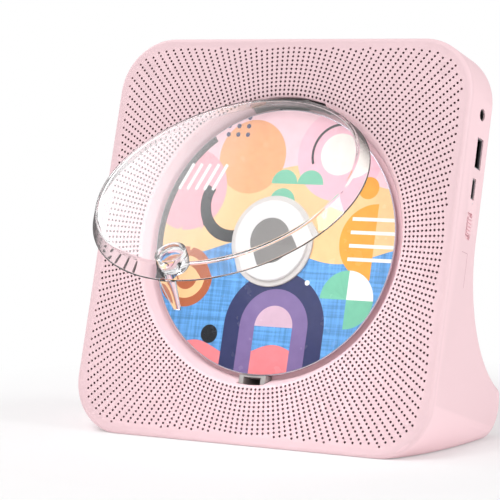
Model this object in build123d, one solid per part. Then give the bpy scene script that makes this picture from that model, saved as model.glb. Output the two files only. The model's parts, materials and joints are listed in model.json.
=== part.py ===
from build123d import *
import math
import os

# A disc player with a speaker grille face, a round disc well and a clear hinged dust cover.
# World frame: X to the right, Y to the back, Z up, base on Z = 0, origin at the base pad.
# All pieces are drawn in the face frame and placed in the world at the end:
#   x runs to the right, v up the leaning face, w out of it, so depths into the body are negative.

# ---------------------------------------------------------------- body
LEAN = 16.34                 # degrees that the face leans back from the vertical
FACE_Y = -45.0               # where the face's lower edge lies, in the world
FACE_Z = 2.0
FACE_BESIDE = 23.7           # face left beside, above and below the well's mouth
FACE_ABOVE = 27.33
FACE_BELOW = 26.37
BODY_BOTTOM = -2.0           # lower edge of the body's outline, along v
CORNER_RADIUS = 25.5
EDGE_ROUND = 2.0             # rounding around the face
WALL = 2.0
FACE_WALL = 2.5
BACK_DEPTH = 27.0            # depth of the flat upper back behind the face
FLARE_RADIUS = 58.0          # concave flare between the back and the foot
FLARE_TURN = 74.0            # degrees that the flare turns through
FLARE_RUN = 3.2              # straight part between the flare and the foot's nose
FOOT_NOSE_HEIGHT = 20.75     # height of the foot's nose, in the world
FOOT_NOSE_ROUND = 4.0
FOOT_HEEL_ROUND = 16.5
BACK_EDGE_ROUND = 4.0
PAD_HEIGHT = 0.2             # how far the base pad lifts the shell
PAD_RECESS = 1.2
PAD_SIDE = 26.0              # pad's ends, in from the body's sides
PAD_DEPTH = 54.0
PAD_CENTRE_Y = -8.0
PAD_CORNER = 8.0

SEAM_DEPTH = 3.2             # parting line between the covers, behind the face
LIP_DEPTH = 6.2              # how far the front cover's locating lip reaches
LIP_WALL = 1.2
LIP_CLEARANCE = 0.15
SEAT_CLEARANCE = 0.3         # around a piece that stands in a slot or on a seat
OVERCUT = 4.0                # how far a cutting block runs past what it cuts

# ---------------------------------------------------------------- well, disc and hub
DISC_RADIUS = 60.0
DISC_BORE_RADIUS = 7.5
DISC_THICKNESS = 1.2
DISC_EDGE_ROUND = 0.24
DISC_TOP = -5.0              # label side of the disc
WELL_GAP = 1.6               # from the disc's edge to the well's wall at its floor
WELL_SPREAD = 3.95           # how much wider the well's mouth is than its floor, each side
WELL_DEPTH = 8.4
WELL_LIP_ROUND = 3.2
WELL_WALL = 1.8
DECK_THICKNESS = 1.6
DECK_MARGIN = 5.4            # deck's edge beyond the well's floor
HUB_FIT = 0.08               # radial play of the disc on the hub's cone
TABLE_RADIUS = 15.0
TABLE_THICKNESS = 1.5
TABLE_BOSS_RADIUS = 4.0
TABLE_BOSS_LENGTH = 2.4
DECK_BORE_MARGIN = 4.0       # openings around the turntable's boss
CHASSIS_BORE_MARGIN = 2.0
CONE_HEIGHT = 1.75
CONE_TAPER = 0.6
PUCK_RADIUS = 18.0
PUCK_HEIGHT = 2.4
PUCK_ROUND = 0.9
PUCK_RING_RADIUS = 20.3
PUCK_RING_HEIGHT = 1.0
PUCK_RING_ROUND = 0.3
CAP_RADIUS = 10.0
CAP_THICKNESS = 0.6
CAP_ROUND = 0.25
MAGNET_RADIUS = 6.0
MAGNET_THICKNESS = 0.7
SHAFT_RADIUS = 1.0
RUNNING_FIT = 0.05           # radial clearance of a turning or sliding shaft
SPINDLE_MOTOR_RADIUS = 11.5
SPINDLE_MOTOR_HEIGHT = 6.9
MOTOR_EDGE_ROUND = 0.8
SHAFT_END = 1.0              # from the shaft's end to the motor's end
SHAFT_END_PLAY = 0.1

# ---------------------------------------------------------------- dust cover
LID_OPEN = 39.7              # degrees between the cover as it stands here and closed
LID_GAP = 3.35               # from the well's mouth to the cover's rim
LID_TAPER = 3.6              # how much smaller the flat plate is than the rim
LID_RIM_DEPTH = 2.9          # rim below the face when closed
LID_TOP = 4.25               # plate above the face when closed
LID_WALL = 1.6
LID_WALL_THINNING = 0.4      # taken off the wall's thickness where it meets the plate
LID_PLATE_WALL = 1.8
LID_ROUND = 1.4
HINGE_OUT = 1.2              # hinge line beyond the cover's rim
HINGE_DEPTH = 1.4
PIN_RADIUS = 0.5
KNUCKLE_RADIUS = 0.9
KNUCKLE_HALF = 8.0
LEAF_TOP = 0.1               # leaf's upper side below the face when closed
LEAF_THICKNESS = 1.2
LEAF_ROOT = 2.0              # where the leaf starts inside the rim
EAR_GAP = 0.4
EAR_WIDTH = 2.4
EAR_OUTSIDE = 0.8            # ear's reach outside, inside and in front of the hinge line
EAR_INSIDE = 1.2
EAR_FRONT = 0.8
EAR_FOOT = 7.0               # depth of its foot
NOTCH_HALF = 19.2
NOTCH_MARGIN = 0.15          # notch's edge beyond the well's mouth
BRACKET_GAP = 1.1            # dark gap between the hinge bracket and the notch's edge
BRACKET_TOP = 2.6
BRACKET_FOOT = 2.0           # foot's reach behind the bracket, and its height
BRACKET_FOOT_HEIGHT = 1.6
PEG_RADIUS = 1.2
PEG_SHORT = 0.1              # pegs' ends inside the deck's underside
PEG_ANGLES = (78.0, 102.0)
PEG_FIT = 0.05
KNOB_RADIUS = 6.7
KNOB_RING = 1.5              # width of the ring around the knob's dish
KNOB_DISH = 1.3
KNOB_ROUND = 0.45
KNOB_BOWL = 3.2              # rounding of the knob's underside
KNOB_INSET = 8.2             # knob's centre inside the rim
KNOB_PROUD = 2.0
TONGUE_HALF = 4.0
TONGUE_TIP_HALF = 1.8
TONGUE_LENGTH = 14.0
TONGUE_THICKNESS = 1.5
TONGUE_TIP_THICKNESS = 0.9
TONGUE_ROOT = 0.7            # tongue's root and tip outside the rim
TONGUE_LEAN = 1.2
TONGUE_OVERLAP = 1.0         # how far the tongue runs up the rim
CATCH_HALF = 6.85            # half width of the slot that takes the tongue
CATCH_GAP = 0.15             # slot's inner side beyond the disc's edge
CATCH_REACH = 4.65
CATCH_TOP = 3.3
CATCH_DEPTH = 10.0
CATCH_WALL = 2.2
CATCH_NECK_WALL = 0.65
CATCH_FLOOR = 1.5
TONGUE_CLEARANCE = 0.3       # between the tongue and the sides of its pocket

# ---------------------------------------------------------------- speaker grille
RING_PITCH = 1.94            # radial distance between rings of holes
HOLES_PER_RING = 200
HOLE_RADIUS = 0.56
RING_MARGIN = 1.35           # first ring outside the well's mouth
GRILLE_FIELD = 16.5          # radius of each field of through holes, over a speaker
CLOTH_THICKNESS = 0.4
CLOTH_MARGIN = 6.0
CLOTH_CLEARANCE = 0.25       # around the well's lip and the posts that pass through the cloth

# ---------------------------------------------------------------- speakers
SPEAKER_SIDE = 27.0          # speakers' centres, in from the body's sides and up from its foot
SPEAKER_UP = 30.0
SPEAKER_RADIUS = 20.0
GASKET_DEPTH = 2.7
GASKET_WIDTH = 2.2
FLANGE_THICKNESS = 1.2
BASKET_DEPTH = 11.0
BASKET_WALL = 1.0
SPEAKER_MAGNET_RADIUS = 12.5
SPEAKER_MAGNET_HEIGHT = 6.5
MAGNET_BACK_PLATE = 2.0
CONE_RADIUS = 16.8
CONE_DEPTH = 6.0
CONE_WALL = 0.5
CONE_RIM = 0.6               # flat rim outside the cone's rolled edge
CONE_ROLL = 0.5              # height of the rolled edge, and where it rises and falls
CONE_ROLL_OUT = 1.2
CONE_ROLL_IN = 2.6
CONE_ROLL_DIP = 0.6
CAP_CROWN = 2.0              # dust cap's heights above the cone's floor
CAP_SHOULDER = 1.6
CAP_FOOT = 0.4
CAP_SHOULDER_AT = 0.6        # where the shoulder lies, as a share of the coil's radius
COIL_RADIUS = 6.0
COIL_LENGTH = 3.2
COIL_CLEARANCE = 0.6
POLE_PROUD = 1.5
BASKET_WINDOWS = (0.0, 90.0, 180.0, 270.0)
WINDOW_WIDTH = 9.0
WINDOW_HEIGHT = 4.5
SPEAKER_EAR_OUT = 3.0        # speaker ears' centres outside the basket's flange
SPEAKER_EAR_RADIUS = 2.6
EAR_ROOT = 0.9               # where each ear's root lies, as a share of its reach
SPEAKER_EAR_ANGLES = (-45.0, 45.0, -135.0)   # on the right speaker; mirrored on the left one

# ---------------------------------------------------------------- disc mechanism
CHASSIS_GAP = 0.8            # between the deck and the chassis plate
CHASSIS_THICKNESS = 1.5
CHASSIS_HALF = 44.0
CHASSIS_CORNER = 4.0
CHASSIS_DOWN = 30.0          # plate's reach below the disc's centre
CHASSIS_PAST = 12.0          # and above it, past the disc's edge
SLOT_HALF = 8.0              # slot that the lens looks through
SLOT_START = 16.5
SLOT_PAST = 2.0              # slot's end past the disc's edge
DAMPER_PLACES = ((-36.0, -24.0), (36.0, -24.0), (-36.0, 44.0), (36.0, 44.0))
DAMPER_RADIUS = 4.2
DAMPER_WAIST = 3.0
LENS_START = 24.0            # lens distance from the disc's centre, parked
LENS_SHORT = 4.0             # and from the disc's edge, at the end of its travel
RAIL_X = 22.0
RAIL_RADIUS = 1.25
RAIL_DEPTH = 17.2
RAIL_START = 6.0
RAIL_BLOCK_WIDTH = 5.0
RAIL_BLOCK_LENGTH = 3.0
RAIL_BLOCK_FLOOR = 0.45      # block's wall under a rail
SLED_TOP = 14.1              # depths of the sled's body behind the face
SLED_BOTTOM = 18.8
SLED_HALF_LENGTH = 9.0
SLED_HALF_WIDTH = 12.0
SLED_END = 24.6              # outer edge of the arms on the rails
ARM_HALF_LENGTH = 6.3
ARM_DROP = 0.25              # arms' upper side below the rails' upper side
TOWER_HALF_WIDTH = 6.5
TOWER_HALF_LENGTH = 5.0
TOWER_TOP = 10.8
YOKE_TOP = 9.2
YOKE_THICKNESS = 1.2
HOLDER_HALF_WIDTH = 4.8
HOLDER_HALF_LENGTH = 4.2
HOLDER_TOP = 8.3
HOLDER_BOTTOM = 10.3
HOLDER_CORNER = 1.0
LENS_RADIUS = 2.5
LENS_TOP = 7.5
LENS_SEAT = 0.6              # lens's back above the holder's
LENS_CROWN_AT = (0.5, 0.85)  # lens's curve, as shares of its radius and of its crown
LENS_CROWN_DROP = (0.2, 0.6)

# ---------------------------------------------------------------- gear train
RACK_MODULE = 0.7
PINION_TEETH = 14
WHEEL_MODULE = 0.4
WHEEL_TEETH = 48
MOTOR_TEETH = 12
PRESSURE_ANGLE = 20.0
ADDENDUM = 0.8               # tooth height above the pitch line, in modules
DEDENDUM = 1.1
BACKLASH = 0.1               # taken off each tooth's thickness, in mm
FLANK_STEPS = 4
RACK_LINE = 16.5             # rack's pitch line, beside the disc's centre
RACK_BACK = 13.0
RACK_SPARE = 4.0             # rack beyond the gear at each end of its travel
RACK_THICKNESS = 1.2
LINK_HALF_LENGTH = 7.2
LINK_OVERLAP = 1.0
GEAR_UP = 28.5               # feed gear's height above the disc's centre
GEAR_GAP = 0.4               # between the chassis and the feed gear
WHEEL_THICKNESS = 1.0
PINION_LENGTH = 1.5
SLED_MOTOR_RADIUS = 6.0
SLED_MOTOR_HEIGHT = 5.0
SLED_MOTOR_ROUND = 0.6
MOTOR_SHAFT_RADIUS = 0.6
MOTOR_SHAFT_DEPTH = 3.0      # shaft's reach into the motor, and the play behind its end
MOTOR_SHAFT_PLAY = 0.3
PILLAR_RADIUS = 1.0
PILLAR_INSET = 1.2           # motor pillars inside the motor's edge
PILLAR_ANGLES = (-60.0, 60.0)
POST_RADIUS = 1.0
POST_HEAD_RADIUS = 1.9
POST_HEAD_HEIGHT = 0.3
POST_PLAY = 0.1

# ---------------------------------------------------------------- electronics
BOARD_WIDTH = 34.6
BOARD_HEIGHT = 65.0
BOARD_GAP = 0.4              # board's edge inside the side wall
BOARD_DOWN = 24.8            # board's upper edge below the body's top
BOARD_FRONT = 10.4           # depth of the board's front side
BOARD_THICKNESS = 1.4
BOARD_POST_RADIUS = 2.6
BOARD_POST_FLOOR = 1.0
BOARD_SCREW_LENGTH = 9.0
# Places on the board are measured in from its right edge and down from its upper edge.
BOARD_POST_PLACES = ((29.6, 5.0), (15.6, 4.0), (8.6, 61.0), (14.6, 47.0))
CHIP_PLACES = ((22.3, 30.0), (25.3, 57.0), (17.3, 15.0))
CHIP_SIZES = ((11.0, 11.0, 1.4), (7.0, 5.0, 1.2), (5.0, 4.0, 1.1))
CAPACITOR_PLACES = ((27.3, 44.0), (27.3, 15.0))
CAPACITOR_RADIUS = 3.2
CAPACITOR_HEIGHT = 6.0
JACK_DOWN = 30.8             # down from the body's top
JACK_DEPTH = 14.4
JACK_BORE_RADIUS = 1.8
JACK_BARREL_RADIUS = 2.5
JACK_LENGTH = 12.0
JACK_SIDE_WALL = 0.8
JACK_END_WALL = 1.0
JACK_RECESS = 0.6
JACK_BEHIND_WALL = 0.2
JACK_UNDER = 0.3
USB_A_GAP = 7.1              # below the socket above it
USB_A_DEPTH = 15.8
USB_A_LENGTH = 13.2
USB_A_HEIGHT = 5.8
USB_A_BODY = 14.0
USB_A_RECESS = 0.5
USB_A_END_WALL = 1.5
USB_A_TONGUE_SIDE = 1.1      # room beside the contact tongue
USB_A_TONGUE_BACK = 1.6      # and in front of it
USB_A_TONGUE_THICKNESS = 1.6
USB_A_TONGUE_DROP = 0.9
USB_C_GAP = 4.95
USB_C_DEPTH = 14.4
USB_C_LENGTH = 8.9
USB_C_HEIGHT = 3.2
USB_C_BODY = 7.5
USB_C_RECESS = 0.4
USB_C_END_WALL = 1.0
USB_C_ROUND = 1.34
USB_C_TONGUE_SIDE = 1.3
USB_C_TONGUE_BACK = 0.8
USB_C_TONGUE_THICKNESS = 0.7
SOCKET_FOOT = 3.0            # length of the feet that stand on the board
SOCKET_FOOT_INSET = 2.0
SHEET_WALL = 0.4
PORT_CLEARANCE = 0.2
LED_GAP = 0.55
LED_DEPTH = 15.6
LED_RADIUS = 0.5
LED_LENGTH = 5.0
LED_BODY = 2.0
LED_BODY_OVERLAP = 0.2
LED_RECESS = 0.2
SWITCH_GAP = 3.3
SWITCH_DEPTH = 14.2
SWITCH_LENGTH = 11.6
SWITCH_HEIGHT = 4.8
SWITCH_RECESS = 1.0
SWITCH_BODY_DEPTH = 4.2
SWITCH_GROOVE_DEPTH = 1.5
SWITCH_KNOB_LENGTH = 7.6
SWITCH_KNOB_PROUD = 0.1
SWITCH_RIB_HEIGHT = 0.5
SWITCH_TRAVEL = 1.7          # each way from the middle
SWITCH_RIBS = 5
SWITCH_RIB_SHARE = 0.5       # rib's width, as a share of the ribs' pitch
SWITCH_STEM = 2.4
SWITCH_STEM_PAST = 1.4       # stem's reach into the switch, past the side wall
SWITCH_BODY_OVER = 0.2       # switch body beyond its recess, and beyond the stem
SWITCH_BODY_UNDER = 1.2
SWITCH_KNOB_GAP = 0.3        # between the thumb piece and its recess, across its travel
SWITCH_FLOOR_GAP = 0.1

# ---------------------------------------------------------------- top buttons
BUTTON_NAMES = (
    "power_button",
    "mode_button",
    "previous_button",
    "play_button",
    "next_button",
    "volume_button",
)
BUTTON_PITCH = 18.0
BUTTON_LENGTH = 12.0
BUTTON_WIDTH = 5.6
BUTTON_DEPTH = 11.6
BUTTON_PROUD = 1.0
BUTTON_CLEARANCE = 0.2
BUTTON_FLANGE = 1.0
BUTTON_FLANGE_REACH = 0.9
BUTTON_PLAY = 0.05           # between the flange and the wall above it
BUTTON_STEM_RADIUS = 1.2
BUTTON_ROUND = 0.5
BUTTON_TRAVEL = 0.7
BUTTON_BOARD_END = 15.4      # board's ends beyond the outer buttons
BUTTON_BOARD_WIDTH = 9.0
BUTTON_BOARD_THICKNESS = 1.4
BUTTON_BOARD_DROP = 6.4      # board's upper side below the body's top
BOARD_GROOVE = 1.6           # how far the ribs grip the board's ends
BOARD_GROOVE_FIT = 0.1
RIB_WALL = 2.0
TACT_SIZE = 4.5
TACT_HEIGHT = 2.3
TACT_PLUNGER = 0.6
TACT_PLUNGER_RADIUS = 1.0
TACT_MARGIN = 0.1            # left between a pressed button and its switch

# ---------------------------------------------------------------- fastening
SCREW_RADIUS = 1.25
SCREW_CLEARANCE = 0.3
SCREW_HEAD_RADIUS = 2.6
SCREW_HEAD_HEIGHT = 1.8
SCREW_HEAD_ROUND = 0.3       # as shares of the head's height and radius
SCREW_SLOT_DEPTH = 0.45
SCREW_SLOT_WIDTH = 0.3
PILOT_END = 1.0              # pilot holes' and screws' ends behind the face's wall
SCREW_END = 1.5
DECK_PILOT_END = 0.8
DECK_SCREW_END = 1.0
SPEAKER_PILOT_END = 0.4
SPEAKER_SCREW_END = 0.6
DAMPER_SCREW_SHORT = 0.2
TOP_SCREW = (13.0, 14.8)     # in from the side, down from the top
SIDE_SCREW = (8.0, 11.92)    # in from the side, down from the disc's centre
LOW_SCREW = (53.0, 26.0)     # in from the side, up from the foot
COVER_BOSS_RADIUS = 3.8
COVER_BOSS_MEET = 10.0       # depth at which front and rear bosses meet
COVER_BOSS_FLOOR = 3.0       # material under each screw's head
HEAD_WELL_RADIUS = 3.2
SMALL_SCREW_RADIUS = 0.9
SMALL_SCREW_CLEARANCE = 0.2
SMALL_HEAD_RADIUS = 1.8
SMALL_HEAD_HEIGHT = 1.3
DAMPER_HEAD_RADIUS = 2.6
DECK_SCREW_OUT = 4.6         # deck screws beyond the deck's edge
DECK_SCREW_ANGLES = (48.0, 132.0, 210.0, 330.0)
DECK_EAR_RADIUS = 3.4
DECK_SCREW_ROOM = 0.5        # kept clear around a deck screw's head
KEYHOLE_SIDE = 39.0          # in from the body's sides
KEYHOLE_DOWN = 34.8          # down from its top
KEYHOLE_RADIUS = 4.0
KEYHOLE_SLOT_RADIUS = 2.0
KEYHOLE_RISE = 7.0

# ---------------------------------------------------------------- derived places
LEAN_RAD = math.radians(LEAN)
FACE = Plane(origin=(0, FACE_Y, FACE_Z), x_dir=(1, 0, 0), z_dir=(0, -math.cos(LEAN_RAD), math.sin(LEAN_RAD)))
WELL_FLOOR_RADIUS = DISC_RADIUS + WELL_GAP
WELL_MOUTH_RADIUS = WELL_FLOOR_RADIUS + WELL_SPREAD
WELL_HEM_RADIUS = WELL_MOUTH_RADIUS + WELL_LIP_ROUND
WELL_V = BODY_BOTTOM + FACE_BELOW + WELL_MOUTH_RADIUS
BODY_TOP = WELL_V + WELL_MOUTH_RADIUS + FACE_ABOVE
HALF_WIDTH = WELL_MOUTH_RADIUS + FACE_BESIDE
BODY_WIDTH = HALF_WIDTH * 2
BODY_HEIGHT = BODY_TOP - BODY_BOTTOM
BODY_MIDDLE = (BODY_TOP + BODY_BOTTOM) / 2
TURN_RAD = math.radians(FLARE_TURN)
NOSE_W = -BACK_DEPTH - FLARE_RADIUS * (1 - math.cos(TURN_RAD)) - FLARE_RUN * math.sin(TURN_RAD)
NOSE_V = (FOOT_NOSE_HEIGHT - FACE_Z - NOSE_W * math.sin(LEAN_RAD)) / math.cos(LEAN_RAD)
FLARE_START = NOSE_V + FLARE_RUN * math.cos(TURN_RAD) + FLARE_RADIUS * math.sin(TURN_RAD)
FOOT_BACK_Y = FACE_Y + NOSE_V * math.sin(LEAN_RAD) - NOSE_W * math.cos(LEAN_RAD)
DEEP = BACK_DEPTH + FLARE_RADIUS * 2        # deeper than any part of the body
PAD_WIDTH = BODY_WIDTH - PAD_SIDE * 2
DECK_RADIUS = WELL_FLOOR_RADIUS + DECK_MARGIN
DECK_TOP = -WELL_DEPTH
DECK_UNDER = DECK_TOP - DECK_THICKNESS
DECK_SCREW_REACH = DECK_RADIUS + DECK_SCREW_OUT
CHASSIS_TOP = DECK_UNDER - CHASSIS_GAP
CHASSIS_UNDER = CHASSIS_TOP - CHASSIS_THICKNESS
CHASSIS_UP = DISC_RADIUS + CHASSIS_PAST
SLOT_END = DISC_RADIUS + SLOT_PAST
DISC_UNDER = DISC_TOP - DISC_THICKNESS
LID_RIM_RADIUS = WELL_MOUTH_RADIUS - LID_GAP
LID_PLATE_RADIUS = LID_RIM_RADIUS - LID_TAPER
HINGE_V = WELL_V + LID_RIM_RADIUS + HINGE_OUT
NOTCH_RADIUS = WELL_MOUTH_RADIUS + NOTCH_MARGIN
BRACKET_RADIUS = NOTCH_RADIUS - BRACKET_GAP
KNOB_V = WELL_V - LID_RIM_RADIUS + KNOB_INSET
CATCH_INNER = DISC_RADIUS + CATCH_GAP
CATCH_OUTER = CATCH_INNER + CATCH_REACH
CATCH_V = WELL_V - (CATCH_INNER + CATCH_OUTER) / 2
PEG_REACH = (WELL_FLOOR_RADIUS + BRACKET_RADIUS + BRACKET_FOOT) / 2
FIRST_RING = WELL_MOUTH_RADIUS + RING_MARGIN
CLOTH_BORE = WELL_HEM_RADIUS + CLOTH_CLEARANCE
CLOTH_UNDER = -FACE_WALL - CLOTH_THICKNESS
SPEAKER_X = HALF_WIDTH - SPEAKER_SIDE
SPEAKER_V = BODY_BOTTOM + SPEAKER_UP
SPEAKER_EAR_REACH = SPEAKER_RADIUS + SPEAKER_EAR_OUT
FLANGE_TOP = CLOTH_UNDER - GASKET_DEPTH
FLANGE_UNDER = FLANGE_TOP - FLANGE_THICKNESS
CONE_SEAT = CONE_RADIUS + CONE_RIM
BASKET_FLOOR = FLANGE_TOP - BASKET_DEPTH
LENS_TRAVEL = DISC_RADIUS - LENS_SHORT - LENS_START
SLED_V = WELL_V + LENS_START
DAMPER_BOTTOM = CHASSIS_UNDER - CHASSIS_GAP
RAIL_END = WELL_V + CHASSIS_UP
GEAR_X = RACK_LINE + RACK_MODULE * PINION_TEETH / 2
GEAR_V = WELL_V + GEAR_UP
RACK_BEHIND = LENS_START + LENS_TRAVEL - GEAR_UP + RACK_SPARE
RACK_AHEAD = GEAR_UP - LENS_START + RACK_SPARE
WHEEL_TOP = CHASSIS_UNDER - GEAR_GAP
WHEEL_UNDER = WHEEL_TOP - WHEEL_THICKNESS
PINION_UNDER = WHEEL_UNDER - PINION_LENGTH
SLED_MOTOR_TOP = WHEEL_UNDER - GEAR_GAP
MOTOR_X = GEAR_X + WHEEL_MODULE * (WHEEL_TEETH + MOTOR_TEETH) / 2
BOARD_RIGHT = HALF_WIDTH - WALL - BOARD_GAP
BOARD_HIGH = BODY_TOP - BOARD_DOWN
BOARD_MIDDLE = (BOARD_RIGHT - BOARD_WIDTH / 2, BOARD_HIGH - BOARD_HEIGHT / 2)
BOARD_BACK = -BOARD_FRONT - BOARD_THICKNESS
BOARD_POSTS = [(BOARD_RIGHT - across, BOARD_HIGH - down) for across, down in BOARD_POST_PLACES]
JACK_V = BODY_TOP - JACK_DOWN
USB_A_V = JACK_V - JACK_BARREL_RADIUS - JACK_SIDE_WALL - USB_A_GAP - USB_A_LENGTH / 2
USB_C_V = USB_A_V - USB_A_LENGTH / 2 - USB_C_GAP - USB_C_LENGTH / 2
LED_V = USB_C_V - USB_C_LENGTH / 2 - LED_GAP - LED_BODY / 2
SWITCH_V = LED_V - LED_BODY / 2 - SWITCH_GAP - SWITCH_BODY_OVER - SWITCH_LENGTH / 2
BACK_INSIDE = -BACK_DEPTH + WALL
BUTTON_BOARD_TOP = BODY_TOP - BUTTON_BOARD_DROP
BUTTON_BOARD_HALF = BUTTON_PITCH * (len(BUTTON_NAMES) - 1) / 2 + BUTTON_BOARD_END
KEYHOLE_X = HALF_WIDTH - KEYHOLE_SIDE
KEYHOLE_V = BODY_TOP - KEYHOLE_DOWN
COVER_SCREWS = [
    (side * (HALF_WIDTH - across), height)
    for across, height in (
        (TOP_SCREW[0], BODY_TOP - TOP_SCREW[1]),
        (SIDE_SCREW[0], WELL_V - SIDE_SCREW[1]),
        (LOW_SCREW[0], BODY_BOTTOM + LOW_SCREW[1]),
    )
    for side in (-1, 1)
]


# ---------------------------------------------------------------- drawing helpers
# Pieces are drawn in the face frame: x across, v up along the face, w out of it.
def block(width, height, top, bottom, x=0.0, v=0.0):
    return Pos(x, v, (top + bottom) / 2) * Box(width, height, top - bottom)


def post(radius, top, bottom, x=0.0, v=0.0):
    """A cylinder along w between two levels."""
    return Pos(x, v, (top + bottom) / 2) * Cylinder(radius, top - bottom)


def tube(outer, inner, top, bottom, x=0.0, v=0.0):
    return post(outer, top, bottom, x, v) - post(inner, top, bottom, x, v)


def rod_x(radius, x_start, x_end, v, w):
    """A round rod along x."""
    return Pos((x_start + x_end) / 2, v, w) * Rot(0, 90, 0) * Cylinder(radius, x_end - x_start)


def rod_v(radius, v_start, v_end, x, w):
    """A round rod along v."""
    return Pos(x, (v_start + v_end) / 2, w) * Rot(90, 0, 0) * Cylinder(radius, v_end - v_start)


def bar_x(length, height, x_start, x_end, v, w):
    """A square bar along x, with a length along v and a height along w."""
    return Pos((x_start + x_end) / 2, v, w) * Box(x_end - x_start, length, height)


def plate(sketch, top, bottom):
    """A flat sketch thickened between two levels along w."""
    return Pos(0, 0, bottom) * extrude(sketch, top - bottom)


def sector(radius, half, top, bottom):
    """The top of a round plate about the well's centre, within a half width."""
    return post(radius, top, bottom, 0, WELL_V) & block(half * 2, radius, top, bottom, 0, WELL_V + radius)


def revolved(points, x=0.0, v=0.0, round_at=None, round_radius=0.0):
    """A closed outline of (radius, w) points, turned about an axis along w."""
    outline = make_face(Polyline(*points, close=True))
    if round_at:
        corner = outline.vertices().sort_by_distance((round_at[0], round_at[1], 0))[0]
        outline = fillet(corner, round_radius)
    upright = Plane(origin=(0, 0, 0), x_dir=(1, 0, 0), z_dir=(0, -1, 0)) * outline
    return Pos(x, v, 0) * revolve(upright, Axis.Z, 360)


def grouped(pieces):
    """Separate pieces kept together as one node."""
    return Compound(children=[solid for piece in pieces for solid in piece.solids()])


def around(places, piece_at):
    """The same piece at several (x, v) places."""
    return grouped([piece_at(x, v) for x, v in places])


def ring_places(reach, angles, x=0.0, v=WELL_V):
    return [(x + reach * math.cos(math.radians(a)), v + reach * math.sin(math.radians(a))) for a in angles]


def to_face(y, z):
    """World (Y, Z) of a side view as face-frame (v, w)."""
    up = z - FACE_Z
    back = y - FACE_Y
    v = back * math.sin(LEAN_RAD) + up * math.cos(LEAN_RAD)
    w = -back * math.cos(LEAN_RAD) + up * math.sin(LEAN_RAD)
    return v, w


def to_world_height(v, w):
    return FACE_Z + v * math.cos(LEAN_RAD) + w * math.sin(LEAN_RAD)


def below_ground(height):
    """Everything lower than a height in the world, in the face frame."""
    span = BODY_WIDTH + BODY_HEIGHT + DEEP
    return FACE.location.inverse() * Pos(0, 0, height - span / 2) * Box(span, span, span)


def bottom_edge(piece):
    return piece.edges().filter_by(GeomType.CIRCLE).sort_by(Axis.Z)[0]


def top_edge(piece):
    return piece.edges().filter_by(GeomType.CIRCLE).sort_by(Axis.Z)[-1]


def screw(x, v, seat, tip, radius, head_radius, head_height):
    """A screw along w whose head rests on a seat; the head is on the side away from the tip."""
    outward = 1 if seat > tip else -1
    outer = seat + outward * head_height
    head = post(head_radius, max(seat, outer), min(seat, outer), x, v)
    rim = top_edge(head) if outward > 0 else bottom_edge(head)
    head = fillet(rim, head_height * SCREW_HEAD_ROUND)
    slot_floor = outer - outward * head_height * SCREW_SLOT_DEPTH
    slot_top = max(outer, slot_floor)
    slot_bottom = min(outer, slot_floor)
    slot_width = head_radius * SCREW_SLOT_WIDTH
    head -= block(head_radius, slot_width, slot_top, slot_bottom, x, v)
    head -= block(slot_width, head_radius, slot_top, slot_bottom, x, v)
    return head + post(radius, max(seat, tip), min(seat, tip), x, v)


# ---------------------------------------------------------------- body form
def body_outline(inset):
    width = BODY_WIDTH - 2 * inset
    height = BODY_HEIGHT - 2 * inset
    return Pos(0, BODY_MIDDLE) * RectangleRounded(width, height, CORNER_RADIUS - inset)


def side_profile(inset):
    """The side view as a sheet in (v, w): straight back, concave flare and rounded foot."""
    back = inset - BACK_DEPTH
    radius = FLARE_RADIUS + inset
    centre = (FLARE_START, -BACK_DEPTH - FLARE_RADIUS)

    def on_flare(angle):
        return (centre[0] - radius * math.sin(angle), centre[1] + radius * math.cos(angle))

    flare_end = on_flare(TURN_RAD)
    foot_line_v, foot_line_w = to_face(FOOT_BACK_Y - inset, 0)
    slope_v = -math.cos(TURN_RAD)
    slope_w = -math.sin(TURN_RAD)
    up_v = math.cos(LEAN_RAD)
    up_w = math.sin(LEAN_RAD)
    gap_v = foot_line_v - flare_end[0]
    gap_w = foot_line_w - flare_end[1]
    reach = (gap_v * up_w - gap_w * up_v) / (slope_v * up_w - slope_w * up_v)
    nose = (flare_end[0] + slope_v * reach, flare_end[1] + slope_w * reach)
    heel = to_face(FOOT_BACK_Y - inset, PAD_HEIGHT + inset)
    toe = to_face(FACE_Y - BACK_DEPTH, PAD_HEIGHT + inset)
    front = BACK_DEPTH
    top = BODY_TOP + BACK_DEPTH
    edges = [
        Line((top, front), (top, back)),
        Line((top, back), (FLARE_START, back)),
        ThreePointArc((FLARE_START, back), on_flare(TURN_RAD / 2), flare_end),
        Line(flare_end, nose),
        Line(nose, heel),
        Line(heel, toe),
        Line(toe, (toe[0], front)),
        Line((toe[0], front), (top, front)),
    ]
    sheet = make_face(Wire(edges))
    nose_corner = sheet.vertices().sort_by_distance((nose[0], nose[1], 0))[0]
    sheet = fillet(nose_corner, FOOT_NOSE_ROUND - inset)
    heel_corner = sheet.vertices().sort_by_distance((heel[0], heel[1], 0))[0]
    return fillet(heel_corner, FOOT_HEEL_ROUND - inset)


def body_form(inset):
    """The whole body as a solid, or its hollow when inset by a wall."""
    prism = Pos(0, 0, -DEEP) * extrude(body_outline(inset), DEEP)
    side = Plane(origin=(-HALF_WIDTH, 0, 0), x_dir=(0, 1, 0), z_dir=(1, 0, 0)) * side_profile(inset)
    return prism & extrude(side, BODY_WIDTH)


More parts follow.
